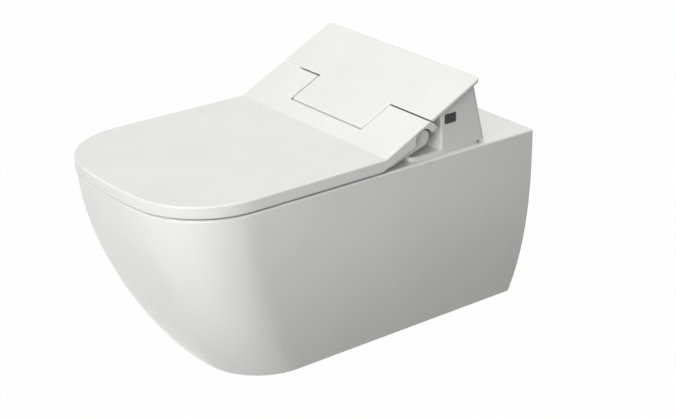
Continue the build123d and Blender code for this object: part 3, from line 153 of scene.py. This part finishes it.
tree, place, china = start("glazed_vitreous_china", GLAZE_ROUGHNESS, 1.52)
axes = add(tree, "SeparateXYZ", {"Vector": place})
at_wall = add(tree, "Math", {0: axes.outputs["Y"], 1: WALL_SKIN}, operation="GREATER_THAN")
across = add(tree, "Math", {0: axes.outputs["X"]}, operation="ABSOLUTE")
depth = add(
    tree,
    "MapRange",
    {"Value": axes.outputs["Z"], 1: PAN_RIM, 2: PAN_RIM - PAN_HEIGHT, 3: 0.0, 4: 1.0},
)
taper = add(tree, "Math", {0: depth.outputs["Result"], 1: TAPER_POWER}, operation="POWER")
side = add(
    tree,
    "Math",
    {0: taper.outputs[0], 1: -SIDE_TAPER, 2: SKIN_MIDDLE},
    operation="MULTIPLY_ADD",
)
inside = add(tree, "Math", {0: across.outputs[0], 1: side.outputs[0]}, operation="LESS_THAN")
behind = add(tree, "Math", {0: axes.outputs["Y"], 1: HOLLOW_FRONT}, operation="GREATER_THAN")
below = add(tree, "Math", {0: axes.outputs["Z"], 1: HOLLOW_TOP}, operation="LESS_THAN")
hollow = add(tree, "Math", {0: inside.outputs[0], 1: behind.outputs[0]}, operation="MULTIPLY")
above = add(tree, "Math", {0: axes.outputs["Z"], 1: HOLLOW_FLOOR}, operation="GREATER_THAN")
hollow = add(tree, "Math", {0: hollow.outputs[0], 1: below.outputs[0]}, operation="MULTIPLY")
hollow = add(tree, "Math", {0: hollow.outputs[0], 1: above.outputs[0]}, operation="MULTIPLY")
raw = add(tree, "Math", {0: hollow.outputs[0], 1: at_wall.outputs[0]}, operation="MAXIMUM")
print("raw clay starts", -HOLLOW_FRONT, "m from the wall")

# %% [markdown]
# The second half gives each surface its colour, its gloss and its bumps, and the mask picks
# between them. Fired glaze is white with faint clouds. Raw clay has a grit of about a millimetre
# and hardly any gloss.

# %% Glaze and clay
GLAZE_LUMPS = 0.025
GLAZE_CLOUDS = 0.12
CLAY_GRIT = 0.0012
CLAY_ROUGHNESS = 0.82

cloud = add(tree, "TexNoise", {"Vector": place, "Scale": waves(GLAZE_CLOUDS), "Detail": 2.0})
white = tint(tree, cloud.outputs["Fac"], "EFEFED", "F3F3F2")
grit = add(tree, "TexNoise", {"Vector": place, "Scale": waves(CLAY_GRIT), "Detail": 3.0})
clay = tint(tree, grit.outputs["Fac"], "D8CDBB", "E6DDCE")
colour = add(tree, "Mix", {0: raw.outputs[0], 6: white, 7: clay}, data_type="RGBA")
tree.links.new(colour.outputs[2], china.inputs["Base Color"])

dull = add(tree, "Mix", {0: raw.outputs[0], 2: GLAZE_ROUGHNESS, 3: CLAY_ROUGHNESS})
tree.links.new(dull.outputs[0], china.inputs["Roughness"])
flow = add(tree, "TexNoise", {"Vector": place, "Scale": waves(GLAZE_LUMPS), "Detail": 1.0})
skin = add(tree, "Mix", {0: raw.outputs[0], 2: flow.outputs["Fac"], 3: grit.outputs["Fac"]})
bump = add(tree, "Bump", {"Height": skin.outputs[0], "Strength": 0.12, "Distance": 0.0004})
tree.links.new(bump.outputs["Normal"], china.inputs["Normal"])
print("china has", len(tree.nodes), "nodes")

# %% [markdown]
# ## Moulded plastics
# The lid and the ring are duroplast, pressed hot in a polished mould: nearly as glossy as the
# glaze, and denser and whiter than other plastics. The housing is injection moulded ABS, whose
# mould is polished less, so its reflections are softer. Both show a faint orange peel, which is
# bump from a fine noise, and the wear of a cloth, which is a slow change of roughness. What
# differs goes in as values.

# %% Glossy white mouldings
TONE_SIZE = 0.09
WIPE_SIZE = 0.03


def moulded(name, low, high, roughness, peel, depth, worn=0.04, ior=1.54, edge=0.0008):
    """A moulded plastic: two tones, its peel's size and depth, a worn gloss and round edges."""
    tree, place, shader = start(name, roughness, ior)
    tone = add(tree, "TexNoise", {"Vector": place, "Scale": waves(TONE_SIZE), "Detail": 2.0})
    tree.links.new(tint(tree, tone.outputs["Fac"], low, high), shader.inputs["Base Color"])
    wipe = add(tree, "TexNoise", {"Vector": place, "Scale": waves(WIPE_SIZE), "Detail": 4.0})
    gloss = add(
        tree,
        "MapRange",
        {
            "Value": wipe.outputs["Fac"],
            1: NOISE_LOW, 2: NOISE_HIGH, 3: roughness, 4: roughness + worn,
        },
    )
    tree.links.new(gloss.outputs["Result"], shader.inputs["Roughness"])
    grain = add(tree, "TexNoise", {"Vector": place, "Scale": waves(peel), "Detail": 2.0})
    rounded = add(tree, "Bevel", {"Radius": edge}, samples=4)
    bump = add(
        tree,
        "Bump",
        {
            "Height": grain.outputs["Fac"],
            "Strength": 0.2,
            "Distance": depth,
            "Normal": rounded.outputs["Normal"],
        },
    )
    tree.links.new(bump.outputs["Normal"], shader.inputs["Normal"])
    return bpy.data.materials[name]


duroplast = moulded("pressed_duroplast", "EDEDEC", "F1F1F0", 0.10, 0.006, 0.00006, edge=0.0025)
gloss_abs = moulded("polished_abs", "EBEBEA", "EFEFEE", 0.16, 0.003, 0.00004)
wand_abs = moulded("wand_abs", "E6E8E8", "ECEEEE", 0.14, 0.003, 0.00004)
print("white mouldings:", duroplast.name, gloss_abs.name, wand_abs.name)

# %% [markdown]
# The pieces inside don't need gloss. The pan, ducts and casings are grey polypropylene from a
# spark eroded mould, whose grain is about half a millimetre. Nylon is creamy and takes a satin
# skin. The valve is black nylon with glass fibre, which leaves pale streaks.

# %% Matt mouldings
polypropylene = moulded(
    "spark_eroded_polypropylene", "A7AAAB", "B2B5B6", 0.42, 0.0008, 0.0001, 0.1, 1.49
)
nylon = moulded("natural_nylon", "DCD8CB", "E6E3D8", 0.36, 0.0015, 0.00005, 0.1, 1.53)
filled_nylon = moulded("glass_filled_nylon", "1D1F24", "33363C", 0.48, 0.0009, 0.0001, 0.14, 1.53)
rubber = moulded("moulded_epdm_rubber", "55585A", "606365", 0.62, 0.0012, 0.00012, 0.12, 1.48)
print("matt mouldings:", polypropylene.name, nylon.name, filled_nylon.name, rubber.name)

# %% [markdown]
# ## Metals
# Screws are steel with a zinc plating that has a cool, slightly cloudy shine. The hinge shafts
# are turned stainless steel, with fine rings left by the tool. The inlet is machined brass. A
# metal's colour is its reflection, so each has a metallic of 1 and keeps the shader's own IOR.

# %% Plated, turned and machined metal
TOOL_MARKS = 0.001


def metal(name, low, high, roughness, stretch, spread):
    """A bare metal: two tones, and tool marks drawn out along axes with a small stretch."""
    tree, place, shader = start(name, roughness, metallic=1.0)
    drawn = add(tree, "Mapping", {"Vector": place, "Scale": stretch})
    marks = add(
        tree,
        "TexNoise",
        {"Vector": drawn.outputs["Vector"], "Scale": waves(TOOL_MARKS), "Detail": 3.0},
    )
    tree.links.new(tint(tree, marks.outputs["Fac"], low, high), shader.inputs["Base Color"])
    shine = add(
        tree,
        "MapRange",
        {
            "Value": marks.outputs["Fac"],
            1: NOISE_LOW, 2: NOISE_HIGH, 3: roughness - spread, 4: roughness + spread,
        },
    )
    tree.links.new(shine.outputs["Result"], shader.inputs["Roughness"])
    bump = add(
        tree, "Bump", {"Height": marks.outputs["Fac"], "Strength": 0.15, "Distance": 0.00003}
    )
    tree.links.new(bump.outputs["Normal"], shader.inputs["Normal"])
    return bpy.data.materials[name]


zinc = metal("zinc_plated_steel", "B4B8BE", "CDD0D4", 0.34, (1.0, 1.0, 1.0), 0.08)
stainless = metal("turned_stainless_steel", "B9B7B2", "CFCDC8", 0.24, (1.0, 0.1, 0.1), 0.06)
brass = metal("machined_brass", "B9934E", "CBA862", 0.3, (1.0, 0.12, 0.12), 0.07)
print("metals:", zinc.name, stainless.name, brass.name)

# %% [markdown]
# ## Window and circuit board
# The receiver sits behind a window of black acrylic that only infrared passes, so it looks like
# polished glass with a trace of plum. The board is glass cloth under a green lacquer: its copper
# tracks show through as paler lines on a 2.5 mm grid, which a brick texture draws.

# %% Acrylic and board
tree, place, acrylic = start("infrared_acrylic", 0.05, 1.49)
depth = add(tree, "TexNoise", {"Vector": place, "Scale": waves(0.008), "Detail": 1.0})
tree.links.new(tint(tree, depth.outputs["Fac"], "1B1A1D", "242126"), acrylic.inputs["Base Color"])

TRACK_PITCH = 0.0025
tree, place, board = start("lacquered_circuit_board", 0.32, 1.55)
tracks = add(
    tree,
    "TexBrick",
    {
        "Vector": place,
        "Scale": 1 / TRACK_PITCH,
        "Color1": linear("1F6A40"),
        "Color2": linear("1A5C38"),
        "Mortar": linear("2F8A57"),
        "Mortar Size": 0.12,
        "Brick Width": 3.0,
        "Row Height": 1.0,
    },
)
tree.links.new(tracks.outputs["Color"], board.inputs["Base Color"])
bump = add(tree, "Bump", {"Height": tracks.outputs["Fac"], "Strength": 0.4, "Distance": 0.00005})
tree.links.new(bump.outputs["Normal"], board.inputs["Normal"])
print("finishes so far:", len(bpy.data.materials))

# %% [markdown]
# ## Which solid has which finish
# A solid from the CAD part keeps its shape and place, and only its material slot changes. The
# record's slots name the finish of each family of pieces, so the table below has one line for
# each finish.

# %% Dress the solids
FINISHES = {
    "glazed_vitreous_china": ["ceramic_bowl"],
    "pressed_duroplast": ["lid", "seat_ring"],
    "polished_abs": ["top_cover", "rear_housing", "release_button", "base_plate"],
    "wand_abs": ["spray_wand", "nozzle_tip"],
    "spark_eroded_polypropylene": [
        "unit_pan", "lid_damper", "seat_damper", "wand_guide", "feed_manifold",
        "power_supply", "cable_gland", "fan_casing", "fan_rotor",
    ],
    "natural_nylon": ["fixing_sleeve_left", "fixing_sleeve_right", "drive_pinion"],
    "glass_filled_nylon": ["solenoid_valve"],
    "moulded_epdm_rubber": [n for n in nodes if "buffer" in n or "plug" in n or "hose" in n],
    "zinc_plated_steel": [
        "clamp_screw_left", "clamp_screw_right", "seat_bolt_left", "seat_bolt_right",
        "wand_motor", "flow_heater",
    ],
    "turned_stainless_steel": ["lid_shaft", "seat_shaft"],
    "machined_brass": ["water_inlet"],
    "infrared_acrylic": ["sensor_window"],
    "lacquered_circuit_board": ["control_board", "ir_receiver"],
}
for finish, names in FINISHES.items():
    for name in names:
        nodes[name].data.materials.clear()
        nodes[name].data.materials.append(bpy.data.materials[finish])
dressed = {name for names in FINISHES.values() for name in names}
print("dressed", len(dressed), "solids; left over:", sorted(set(nodes) - dressed))

# %% [markdown]
# ## Small pieces
# The solids leave out what is too fine for them: threads, nuts, screw heads, clamps, the fan's
# grille and the pieces on the circuit board. Each is a mesh of its own, written in millimetres in
# the part's frame, so its object stays at the origin and only has to be told which body it rides
# on. Two helpers make their forms, a box and a profile turned about an axis. A third gives a
# place and a turn, and a fourth makes the object.

# %% Mesh helpers
MM = 0.001
SHARP = 0.6


def box(mesh, low, high, place=Matrix()):
    """A box between two corners given in millimetres."""
    middle = [(a + b) / 2 * MM for a, b in zip(low, high)]
    size = [(b - a) * MM for a, b in zip(low, high)]
    shape = Matrix.Translation(middle) @ Matrix.Diagonal((*size, 1.0))
    bmesh.ops.create_cube(mesh, size=1.0, matrix=place @ shape)


def turned(mesh, outline, place, steps=40, closed=False):
    """A profile of (radius, height) points in millimetres, turned about the place's own Z axis."""
    start = len(mesh.verts)
    verts = [mesh.verts.new((radius * MM, 0, height * MM)) for radius, height in outline]
    pairs = list(zip(verts, verts[1:])) + ([(verts[-1], verts[0])] if closed else [])
    edges = [mesh.edges.new(pair) for pair in pairs]
    bmesh.ops.spin(
        mesh,
        geom=verts + edges,
        cent=(0, 0, 0),
        axis=(0, 0, 1),
        angle=2 * math.pi,
        steps=steps,
        use_merge=True,
    )
    mesh.verts.ensure_lookup_table()
    bmesh.ops.transform(mesh, matrix=place, verts=mesh.verts[start:])


def spot(x, y, z, turn=0.0, axis="X"):
    """A place in millimetres, turned by an angle in degrees about one axis."""
    shift = Matrix.Translation((x * MM, y * MM, z * MM))
    return shift @ Matrix.Rotation(math.radians(turn), 4, axis)


def piece(name, mesh, finish, body="toilet", soft=0.0):
    """The mesh as an object that rides on a body, with its sharp edges kept or softened."""
    bmesh.ops.remove_doubles(mesh, verts=mesh.verts, dist=1e-7)
    bmesh.ops.recalc_face_normals(mesh, faces=mesh.faces)
    for face in mesh.faces:
        face.smooth = True
    for edge in mesh.edges:
        edge.smooth = len(edge.link_faces) == 2 and edge.calc_face_angle() < SHARP
    data = bpy.data.meshes.new(name)
    mesh.to_mesh(data)
    mesh.free()
    data.materials.append(bpy.data.materials[finish])
    made = bpy.data.objects.new(name, data)
    bpy.context.scene.collection.objects.link(made)
    if soft:
        bevel = made.modifiers.new("soft_edges", "BEVEL")
        bevel.width = soft * MM
        bevel.segments = 3
        bevel.limit_method = "ANGLE"
    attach(made, body)
    return made


print("edges over", round(math.degrees(SHARP)), "degrees stay sharp")

# %% [markdown]
# The unit's back leans forward by 0.2366 mm for each millimetre of height. A ring that lies on it
# is turned straight first, and then each of its points is moved along Y by the lean at its own
# height.

# %% The sloping back
BACK_LEAN = 0.23663
BACK_FOOT = (-0.0900, 0.1215)


def lean_back(mesh, level):
    """Moves each vertex along Y, so a flat ring made at that height lies on the back."""
    for vert in mesh.verts:
        vert.co.y -= BACK_LEAN * (vert.co.z - level * MM)


def back_at(level):
    """Y of the unit's back at a height, in millimetres."""
    return (BACK_FOOT[0] / MM) - BACK_LEAN * (level - BACK_FOOT[1] / MM)


print("at 145 mm the back lies at", round(back_at(145), 2), "mm")

# %% [markdown]
# The water inlet is a brass nipple with a half inch pipe thread of 14 turns to the inch, which is
# a pitch of 1.814 mm. Its body is a turned profile. The thread is one ridge, spun about the axis
# while it moves along it, which is what the spin operator's dvec does, so it is a true helix and
# not a stack of rings.

# %% Threaded inlet
INLET_X, INLET_Z = -130, 145
THREAD_PITCH = 1.814
THREAD_TURNS = 6
THREAD_STEPS = 36
nipple = bmesh.new()
bore = [(6.5, 0), (9.5, 0), (9.5, 13), (9.3, 13), (9.3, 25.2), (8.6, 26), (6.5, 26)]
turned(nipple, bore, spot(INLET_X, -104, INLET_Z, -90), 64, closed=True)
ridge = [(9.2, -0.8), (10.44, -0.2), (10.44, 0.2), (9.2, 0.8)]
corners = [
    nipple.verts.new(((INLET_X + r) * MM, (-89.6 + h) * MM, INLET_Z * MM)) for r, h in ridge
]
loop = [nipple.edges.new(pair) for pair in zip(corners, corners[1:] + corners[:1])]
swept = bmesh.ops.spin(
    nipple,
    geom=corners + loop,
    cent=(INLET_X * MM, 0, INLET_Z * MM),
    axis=(0, 1, 0),
    dvec=(0, THREAD_PITCH / THREAD_STEPS * MM, 0),
    angle=2 * math.pi * THREAD_TURNS,
    steps=THREAD_STEPS * THREAD_TURNS,
)
last = [v for v in swept["geom_last"] if isinstance(v, bmesh.types.BMVert)]
nipple.faces.new(corners)
bmesh.ops.contextual_create(nipple, geom=last)
thread = piece("inlet_nipple", nipple, "machined_brass")
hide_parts("water_inlet")
print("thread of", THREAD_TURNS, "turns, pitch", THREAD_PITCH, "mm")

# %% [markdown]
# A rubber grommet seals the housing around the inlet, and a six-sided nut holds the cord's gland.
# A hexagon is only a profile turned in six steps. The fan blows out through a louvre of small
# slats, and a strip closes the gap under the housing's back edge.

# %% Grommet, nut, louvre and strip
GLAND_X, GLAND_Z = -78, 137
LOUVRE_Z = 136
SLAT_PITCH = 3

grommet = bmesh.new()
lip = [(9.7, 0.1), (13, 0.1), (12.6, 1.3), (11, 1.7), (9.7, 1.5)]
turned(grommet, lip, spot(INLET_X, back_at(INLET_Z), INLET_Z, -90), 48, True)
lean_back(grommet, INLET_Z)
piece("inlet_grommet", grommet, "moulded_epdm_rubber")

nut = bmesh.new()
flats = [(8.2, 0.1), (10.8, 0.1), (10.8, 3.6), (8.2, 3.6)]
turned(nut, flats, spot(GLAND_X, back_at(GLAND_Z), GLAND_Z, -90), 6, True)
lean_back(nut, GLAND_Z)
piece("gland_nut", nut, "glass_filled_nylon", soft=0.4)

louvre = bmesh.new()
for level in range(128, 144, SLAT_PITCH):
    foot = back_at(LOUVRE_Z)
    box(louvre, (129, foot + 0.05, level), (147, foot + 1.2, level + 1.2))
lean_back(louvre, LOUVRE_Z)
piece("exhaust_louvre", louvre, "polished_abs", soft=0.35)
strip = bmesh.new()
box(strip, (-169.5, -96.9, 115.1), (169.5, -90.4, 121.4))
piece("rear_seal_strip", strip, "polished_abs", soft=0.6)
print("louvre slats:", len(range(128, 144, SLAT_PITCH)))

# %% [markdown]
# The sensor window has a thin rim. Its outline is a rectangle with round corners, once for the
# inside and once for the outside, and four loops of it make a closed ring. No operator gives a
# frame with round corners whose inside and outside radii differ, so its points are worked out
# here.

# %% Window rim
WINDOW_Y, WINDOW_Z = -159.3, 168.3
WINDOW_LENGTH, WINDOW_HEIGHT, WINDOW_CORNER = 21.4, 14.6, 2


def round_corners(length, height, corner, steps=6):
    """Points of a rectangle with round corners, in millimetres about its own middle."""
    points = []
    for quarter, (a, b) in enumerate(((1, 1), (-1, 1), (-1, -1), (1, -1))):
        for step in range(steps + 1):
            angle = math.pi / 2 * (quarter + step / steps)
            across = a * (length / 2 - corner) + corner * math.cos(angle)
            points.append((across, b * (height / 2 - corner) + corner * math.sin(angle)))
    return points


rim = bmesh.new()
loops = []
for grow, x in ((0.2, 173.55), (1.1, 173.55), (1.0, 173.95), (0.3, 173.95)):
    outline = round_corners(
        WINDOW_LENGTH + 2 * grow, WINDOW_HEIGHT + 2 * grow, WINDOW_CORNER + grow
    )
    loops.append(
        [rim.verts.new((x * MM, (WINDOW_Y + a) * MM, (WINDOW_Z + b) * MM)) for a, b in outline]
    )
for near, far in zip(loops, loops[1:] + loops[:1]):
    for number in range(len(near)):
        after = (number + 1) % len(near)
        rim.faces.new((near[number], near[after], far[after], far[number]))
piece("window_rim", rim, "polished_abs")
print("rim has", len(loops[0]), "points a loop")

# %% [markdown]
# Screw heads, nuts and washers are turned profiles. Each kind is one mesh that holds all its
# copies.

# %% Screws and unions
CROSS_REACH, CROSS_THIN = 1.9, 0.3
PAN_HEAD = [(0, 1.8), (1.6, 1.7), (2.6, 1.2), (3.0, 0.5), (3.0, 0.05), (0, 0.05)]
heads = bmesh.new()
for x, y, z in [
    (34, -164, 166.6), (158, -164, 166.6), (34, -124, 166.6), (158, -124, 166.6),
    (-86, -152, 153), (-36, -152, 153), (-86, -120, 153), (-36, -120, 153),
    (-100, -168, 124.5), (98, -170, 124.5), (-160, -165, 124.5), (160, -170, 124.5),
]:
    turned(heads, PAN_HEAD, spot(x, y, z), 24)
    for a, b in ((CROSS_REACH, CROSS_THIN), (CROSS_THIN, CROSS_REACH)):
        box(heads, (x - a, y - b, z + 1.4), (x + a, y + b, z + 1.95))
piece("housing_screws", heads, "zinc_plated_steel")

unions = bmesh.new()
collar = [(4.7, 153.2), (6.2, 153.2), (6.2, 157.2), (4.7, 157.2)]
turned(unions, collar, spot(-60, -124, 0), 6, True)
turned(unions, [(0, 0), (5, 0), (5, 3), (0, 3)], spot(-130, -122, 184.3), 6)
piece("hexagon_unions", unions, "machined_brass", soft=0.35)
print("screw heads: 12, unions: 2")

# %% [markdown]
# Each end of the cold hose has a worm clamp: a thin band, a small housing and its screw. The
# valve's coil sits in a bent steel bracket with two flat terminals.

# %% Hose clamps and coil bracket
clamps = bmesh.new()
band = [(4.55, 0), (5.1, 0), (5.1, 4), (4.55, 4)]
for x in (-109.5, -97.5):
    turned(clamps, band, spot(x, -127, 137, 90, "Y"), 40, True)
    box(clamps, (x + 0.5, -128.5, 141.9), (x + 3.5, -125.5, 145.2))
    turned(clamps, [(0, 3), (1.6, 2.6), (1.9, 0), (0, 0)], spot(x + 2, -128.4, 143.6, 90), 20)
piece("hose_clamps", clamps, "zinc_plated_steel", soft=0.2)

bracket = bmesh.new()
box(bracket, (-143.4, -128, 183.1), (-116.6, -116, 184.3))
box(bracket, (-143.4, -128, 160), (-142.2, -116, 183.1))
box(bracket, (-117.8, -128, 160), (-116.6, -116, 183.1))
for x in (-134.4, -126.4):
    box(bracket, (x, -142, 168), (x + 0.8, -133.5, 174.3))
piece("coil_bracket", bracket, "zinc_plated_steel", soft=0.3)
print("clamps: 2, terminals: 2")

# %% [markdown]
# The thermal cut-out on the heater is a flanged button of dark nylon. The dampers on the hinge
# end in small six-sided caps.

# %% Cut-out and damper caps
cutout = bmesh.new()
button = [(0, 7), (5, 7), (5.4, 6.6), (5.4, 2), (8, 1.8), (8, 0.05), (0, 0.05)]
turned(cutout, button, spot(-48, -136, 153), 40)
piece("thermal_cutout", cutout, "glass_filled_nylon")
caps = bmesh.new()
for side in (-1, 1):
    ends = [(0, 0), (5.5, 0), (6, 0.5), (6, 1.75), (0, 1.75)]
    turned(caps, ends, spot(side * 24.2, -212.769, 149.517, side * 90, "Y"), 6)
piece("damper_caps", caps, "natural_nylon", soft=0.2)
print("cut-out: 1, caps: 2")

# %% [markdown]
# The fan draws air through a grille of rings and spokes. The wand's motor has a cap with two
# ears. Its place is the wand's tilted frame, so its matrix is a shift to the wand's mouth and a
# turn of 20 degrees about X.

# %% Fan grille and motor cap
FAN_PLACE = (125, -140, 142)
SPOKES = 6

grille = bmesh.new()
for radius in (3.4, 6.8, 10.2, 13.3):
    ring = [(radius, 0), (radius + 0.7, 0), (radius + 0.7, 1.2), (radius, 1.2)]
    turned(grille, ring, spot(*FAN_PLACE), 48, True)
for number in range(SPOKES):
    spoke = spot(*FAN_PLACE, 360 / SPOKES * number, "Z")
    box(grille, (3.6, -0.4, 0.2), (13.8, 0.4, 1.0), spoke)
piece("fan_grille", grille, "spark_eroded_polypropylene")

wand_frame = spot(0, -238, 118.7, 20)
motor_face = wand_frame @ spot(22.6, 22, 18.5, 90, "Y")
cap = bmesh.new()
turned(cap, [(0, 0.05), (8, 0.05), (8, 0.6), (7.4, 1.0), (0, 1.0)], motor_face, 40)
for turn in (45, 225):
    ear = motor_face @ spot(0, 0, 0, turn, "Z")
    turned(cap, [(0, 1.6), (1.1, 1.5), (1.4, 1.0), (0, 1.0)], ear @ spot(5.2, 0, 0), 16)
piece("motor_cap", cap, "zinc_plated_steel")
print("grille rings: 4, spokes:", SPOKES)

# %% [markdown]
# On the board: a processor's legs, a heat sink, capacitors with a groove near the foot, the
# sockets' pins and small resistors. Their places are counted, so a row is one loop.

# %% Legs and pins
BOARD_TOP = 166.6
LEG_PITCH = 1.8
PIN_PITCH = 2.8
SOCKET_PITCH = 24
legs = bmesh.new()
for number in range(8):
    step = 61.5 + LEG_PITCH * number
    for y0, y1 in ((-151.4, -149.9), (-134.1, -132.6)):
        box(legs, (step, y0, BOARD_TOP), (step + 0.7, y1, BOARD_TOP + 0.7))
    row = -148.6 + LEG_PITCH * number
    for x0, x1 in ((58.6, 60.1), (75.9, 77.4)):
        box(legs, (x0, row, BOARD_TOP), (x1, row + 0.7, BOARD_TOP + 0.7))
for socket in range(4):
    for pin in range(5):
        x = 46 + SOCKET_PITCH * socket + PIN_PITCH * pin
        box(legs, (x, -163, BOARD_TOP + 6.3), (x + 0.8, -162.2, BOARD_TOP + 9.5))
piece("board_legs_and_pins", legs, "machined_brass")
print("legs: 32, pins: 20")

# %% [markdown]
# A capacitor is a can turned from one profile, with the groove that its sealing ring leaves. The
# heat sink is a plate with fins. Chips and resistors are small boxes, and so are the power
# supply's vents.

# %% Capacitors, heat sink, chips and vents
FIN_COUNT = 6
FIN_PITCH = 2.2
VENT_COUNT = 8
VENT_PITCH = 5.6
CAN = [
    (0, 14), (4.2, 14), (4.9, 13.4), (5, 12.8), (5, 3.2), (4.6, 2.6), (5, 2), (5, 0.05), (0, 0.05),
]

cans = bmesh.new()
for x, y in ((130, -146), (143, -146), (154, -138)):
    turned(cans, CAN, spot(x, y, BOARD_TOP), 32)
piece("capacitors", cans, "zinc_plated_steel")

sink = bmesh.new()
box(sink, (80, -150, BOARD_TOP + 0.1), (92, -126, BOARD_TOP + 2))
for number in range(FIN_COUNT):
    fin = 80 + FIN_PITCH * number
    box(sink, (fin, -150, BOARD_TOP + 2), (fin + 1, -126, BOARD_TOP + 13))
piece("heat_sink", sink, "zinc_plated_steel", soft=0.15)

chips = bmesh.new()
for number in range(7):
    x = 34 + 4 * (number % 4)
    y = -150 + 7 * (number // 4)
    box(chips, (x, y, BOARD_TOP + 0.05), (x + 2.2, y + 4, BOARD_TOP + 0.9))
for number in range(6):
    x = 100 + 4 * number
    box(chips, (x, -134, BOARD_TOP + 0.05), (x + 2.4, -129, BOARD_TOP + 1.1))
piece("small_chips", chips, "glass_filled_nylon", soft=0.15)

vents = bmesh.new()
for number in range(VENT_COUNT):
    x = 47 + VENT_PITCH * number
    box(vents, (x, -160, 153.02), (x + 2.6, -126, 154.2))
piece("supply_vents", vents, "spark_eroded_polypropylene", soft=0.4)
print("fins:", FIN_COUNT, "vents:", VENT_COUNT)

# %% [markdown]
# ## The studio
# The toilet hangs on a wall, with its rim about 430 mm above the floor, so the floor lies that
# far down. The picture's ground is plain white. The floor shows white to the camera and to
# reflections by the Light Path node, so that no lamp has to be turned up. For all other light it
# is a grey paint, which keeps the light that it sends up under the pan low, and a small share of
# it is left in view, so the shadow still falls there.

# %% Floor
RIM_ABOVE_FLOOR = 0.43
FLOOR_SIZE = 14.0
SHADOW_SHARE = 0.01

floor_mesh = bmesh.new()
bmesh.ops.create_grid(floor_mesh, x_segments=8, y_segments=8, size=FLOOR_SIZE / 2)
bmesh.ops.translate(floor_mesh, verts=floor_mesh.verts, vec=(0, 0, PAN_RIM - RIM_ABOVE_FLOOR))
floor_data = bpy.data.meshes.new("floor")
floor_mesh.to_mesh(floor_data)
floor_mesh.free()
floor = bpy.data.objects.new("floor", floor_data)
bpy.context.scene.collection.objects.link(floor)

tree, place, paint = start("white_studio_floor", 0.9, colour="5A5A5A")
path = add(tree, "LightPath")
seen = path.outputs["Is Camera Ray"]
for ray in ("Is Glossy Ray", "Is Transmission Ray"):
    seen = add(tree, "Math", {0: seen, 1: path.outputs[ray]}, operation="MAXIMUM").outputs[0]
share = add(tree, "Math", {0: seen, 1: 1 - SHADOW_SHARE}, operation="MULTIPLY")
glow = add(tree, "Emission", {"Color": (1.0, 1.0, 1.0, 1.0), "Strength": 1.0})
mixed = add(
    tree,
    "MixShader",
    {0: share.outputs[0], 1: paint.outputs["BSDF"], 2: glow.outputs["Emission"]},
)
tree.links.new(mixed.outputs[0], tree.nodes["Material Output"].inputs["Surface"])
floor_data.materials.append(bpy.data.materials["white_studio_floor"])
print("floor at", round(PAN_RIM - RIM_ABOVE_FLOOR, 3), "m")

# %% [markdown]
# The world is the air of a pale studio. To the camera and to reflections it is full white, like
# the floor. As light it is weak, because the soft boxes do that work and a strong world would
# wash out the shades.

# %% World
AMBIENT = 0.15

world = bpy.data.worlds.new("pale_studio")
world.use_nodes = True
bpy.context.scene.world = world
tree = world.node_tree
tree.nodes.clear()
path = add(tree, "LightPath")
seen = path.outputs["Is Camera Ray"]
for ray in ("Is Glossy Ray", "Is Transmission Ray"):
    seen = add(tree, "Math", {0: seen, 1: path.outputs[ray]}, operation="MAXIMUM").outputs[0]
strength = add(tree, "Mix", {0: seen, 2: AMBIENT, 3: 1.0})
sky = add(tree, "Background", {"Color": (1.0, 1.0, 1.0, 1.0), "Strength": strength.outputs[0]})
add(tree, "OutputWorld", {"Surface": sky.outputs["Background"]})
print("world gives", AMBIENT, "of white as soft light")

# %% [markdown]
# ## Lamps
# Soft boxes are area lamps. The largest hangs above and lights the lid and the cover. The next
# stands in front and a little right, so the front of the bowl is bright and the long side falls
# off towards the wall. Two weaker ones at the right and the left keep the sides from going flat.
# Gloss shows a lamp's shape, so large lamps give the broad, even highlights of the picture.

# %% Soft boxes
def soft_box(name, place, aim, size, power):
    """An area lamp with a square face, at place and turned to aim."""
    lamp = bpy.data.lights.new(name, "AREA")
    lamp.shape = "SQUARE"
    lamp.size = size
    lamp.energy = power
    holder = bpy.data.objects.new(name, lamp)
    holder.location = place
    holder.rotation_euler = (Vector(aim) - Vector(place)).to_track_quat("-Z", "Y").to_euler()
    bpy.context.scene.collection.objects.link(holder)
    return holder


soft_box("overhead_box", (0.0, 0.1, 2.2), (0.0, -0.3, 0.0), 2.4, 36)
soft_box("front_box", (0.8, -2.6, 0.45), (0.0, -0.5, 0.0), 1.4, 25)
soft_box("left_box", (-1.6, -1.8, 0.8), (0.0, -0.5, 0.0), 1.4, 6)
soft_box("right_box", (1.5, -1.9, 0.6), (0.1, -0.4, 0.0), 1.2, 16)

# %% [markdown]
# ## The camera
# The picture was taken from the right, in front and a little above, with a long lens. Its place
# comes from fitting the toilet's known edges, and a small sideways shift puts the toilet left of
# the middle.

# %% Camera
LENS = 91.35
SENSOR_WIDTH = 36.0
SIDE_SHIFT = -0.1146
CAMERA_PLACE = (1.9467, -1.6877, 1.0160)
CAMERA_RIGHT = Vector((0.6364, 0.7713, 0.0))
CAMERA_UP = Vector((-0.3007, 0.2481, 0.9208))
CAMERA_BACK = Vector((0.7103, -0.5860, 0.3899))

camera_data = bpy.data.cameras.new("picture_camera")
camera_data.lens = LENS
camera_data.sensor_width = SENSOR_WIDTH
camera_data.shift_x = SIDE_SHIFT
camera = bpy.data.objects.new("picture_camera", camera_data)
turn = Matrix((CAMERA_RIGHT, CAMERA_UP, CAMERA_BACK)).transposed()
camera.matrix_world = Matrix.Translation(CAMERA_PLACE) @ turn.to_4x4()
bpy.context.scene.collection.objects.link(camera)
bpy.context.scene.camera = camera
bpy.context.scene.view_settings.view_transform = "Standard"
print("camera stands", round(camera.location.length, 2), "m away")
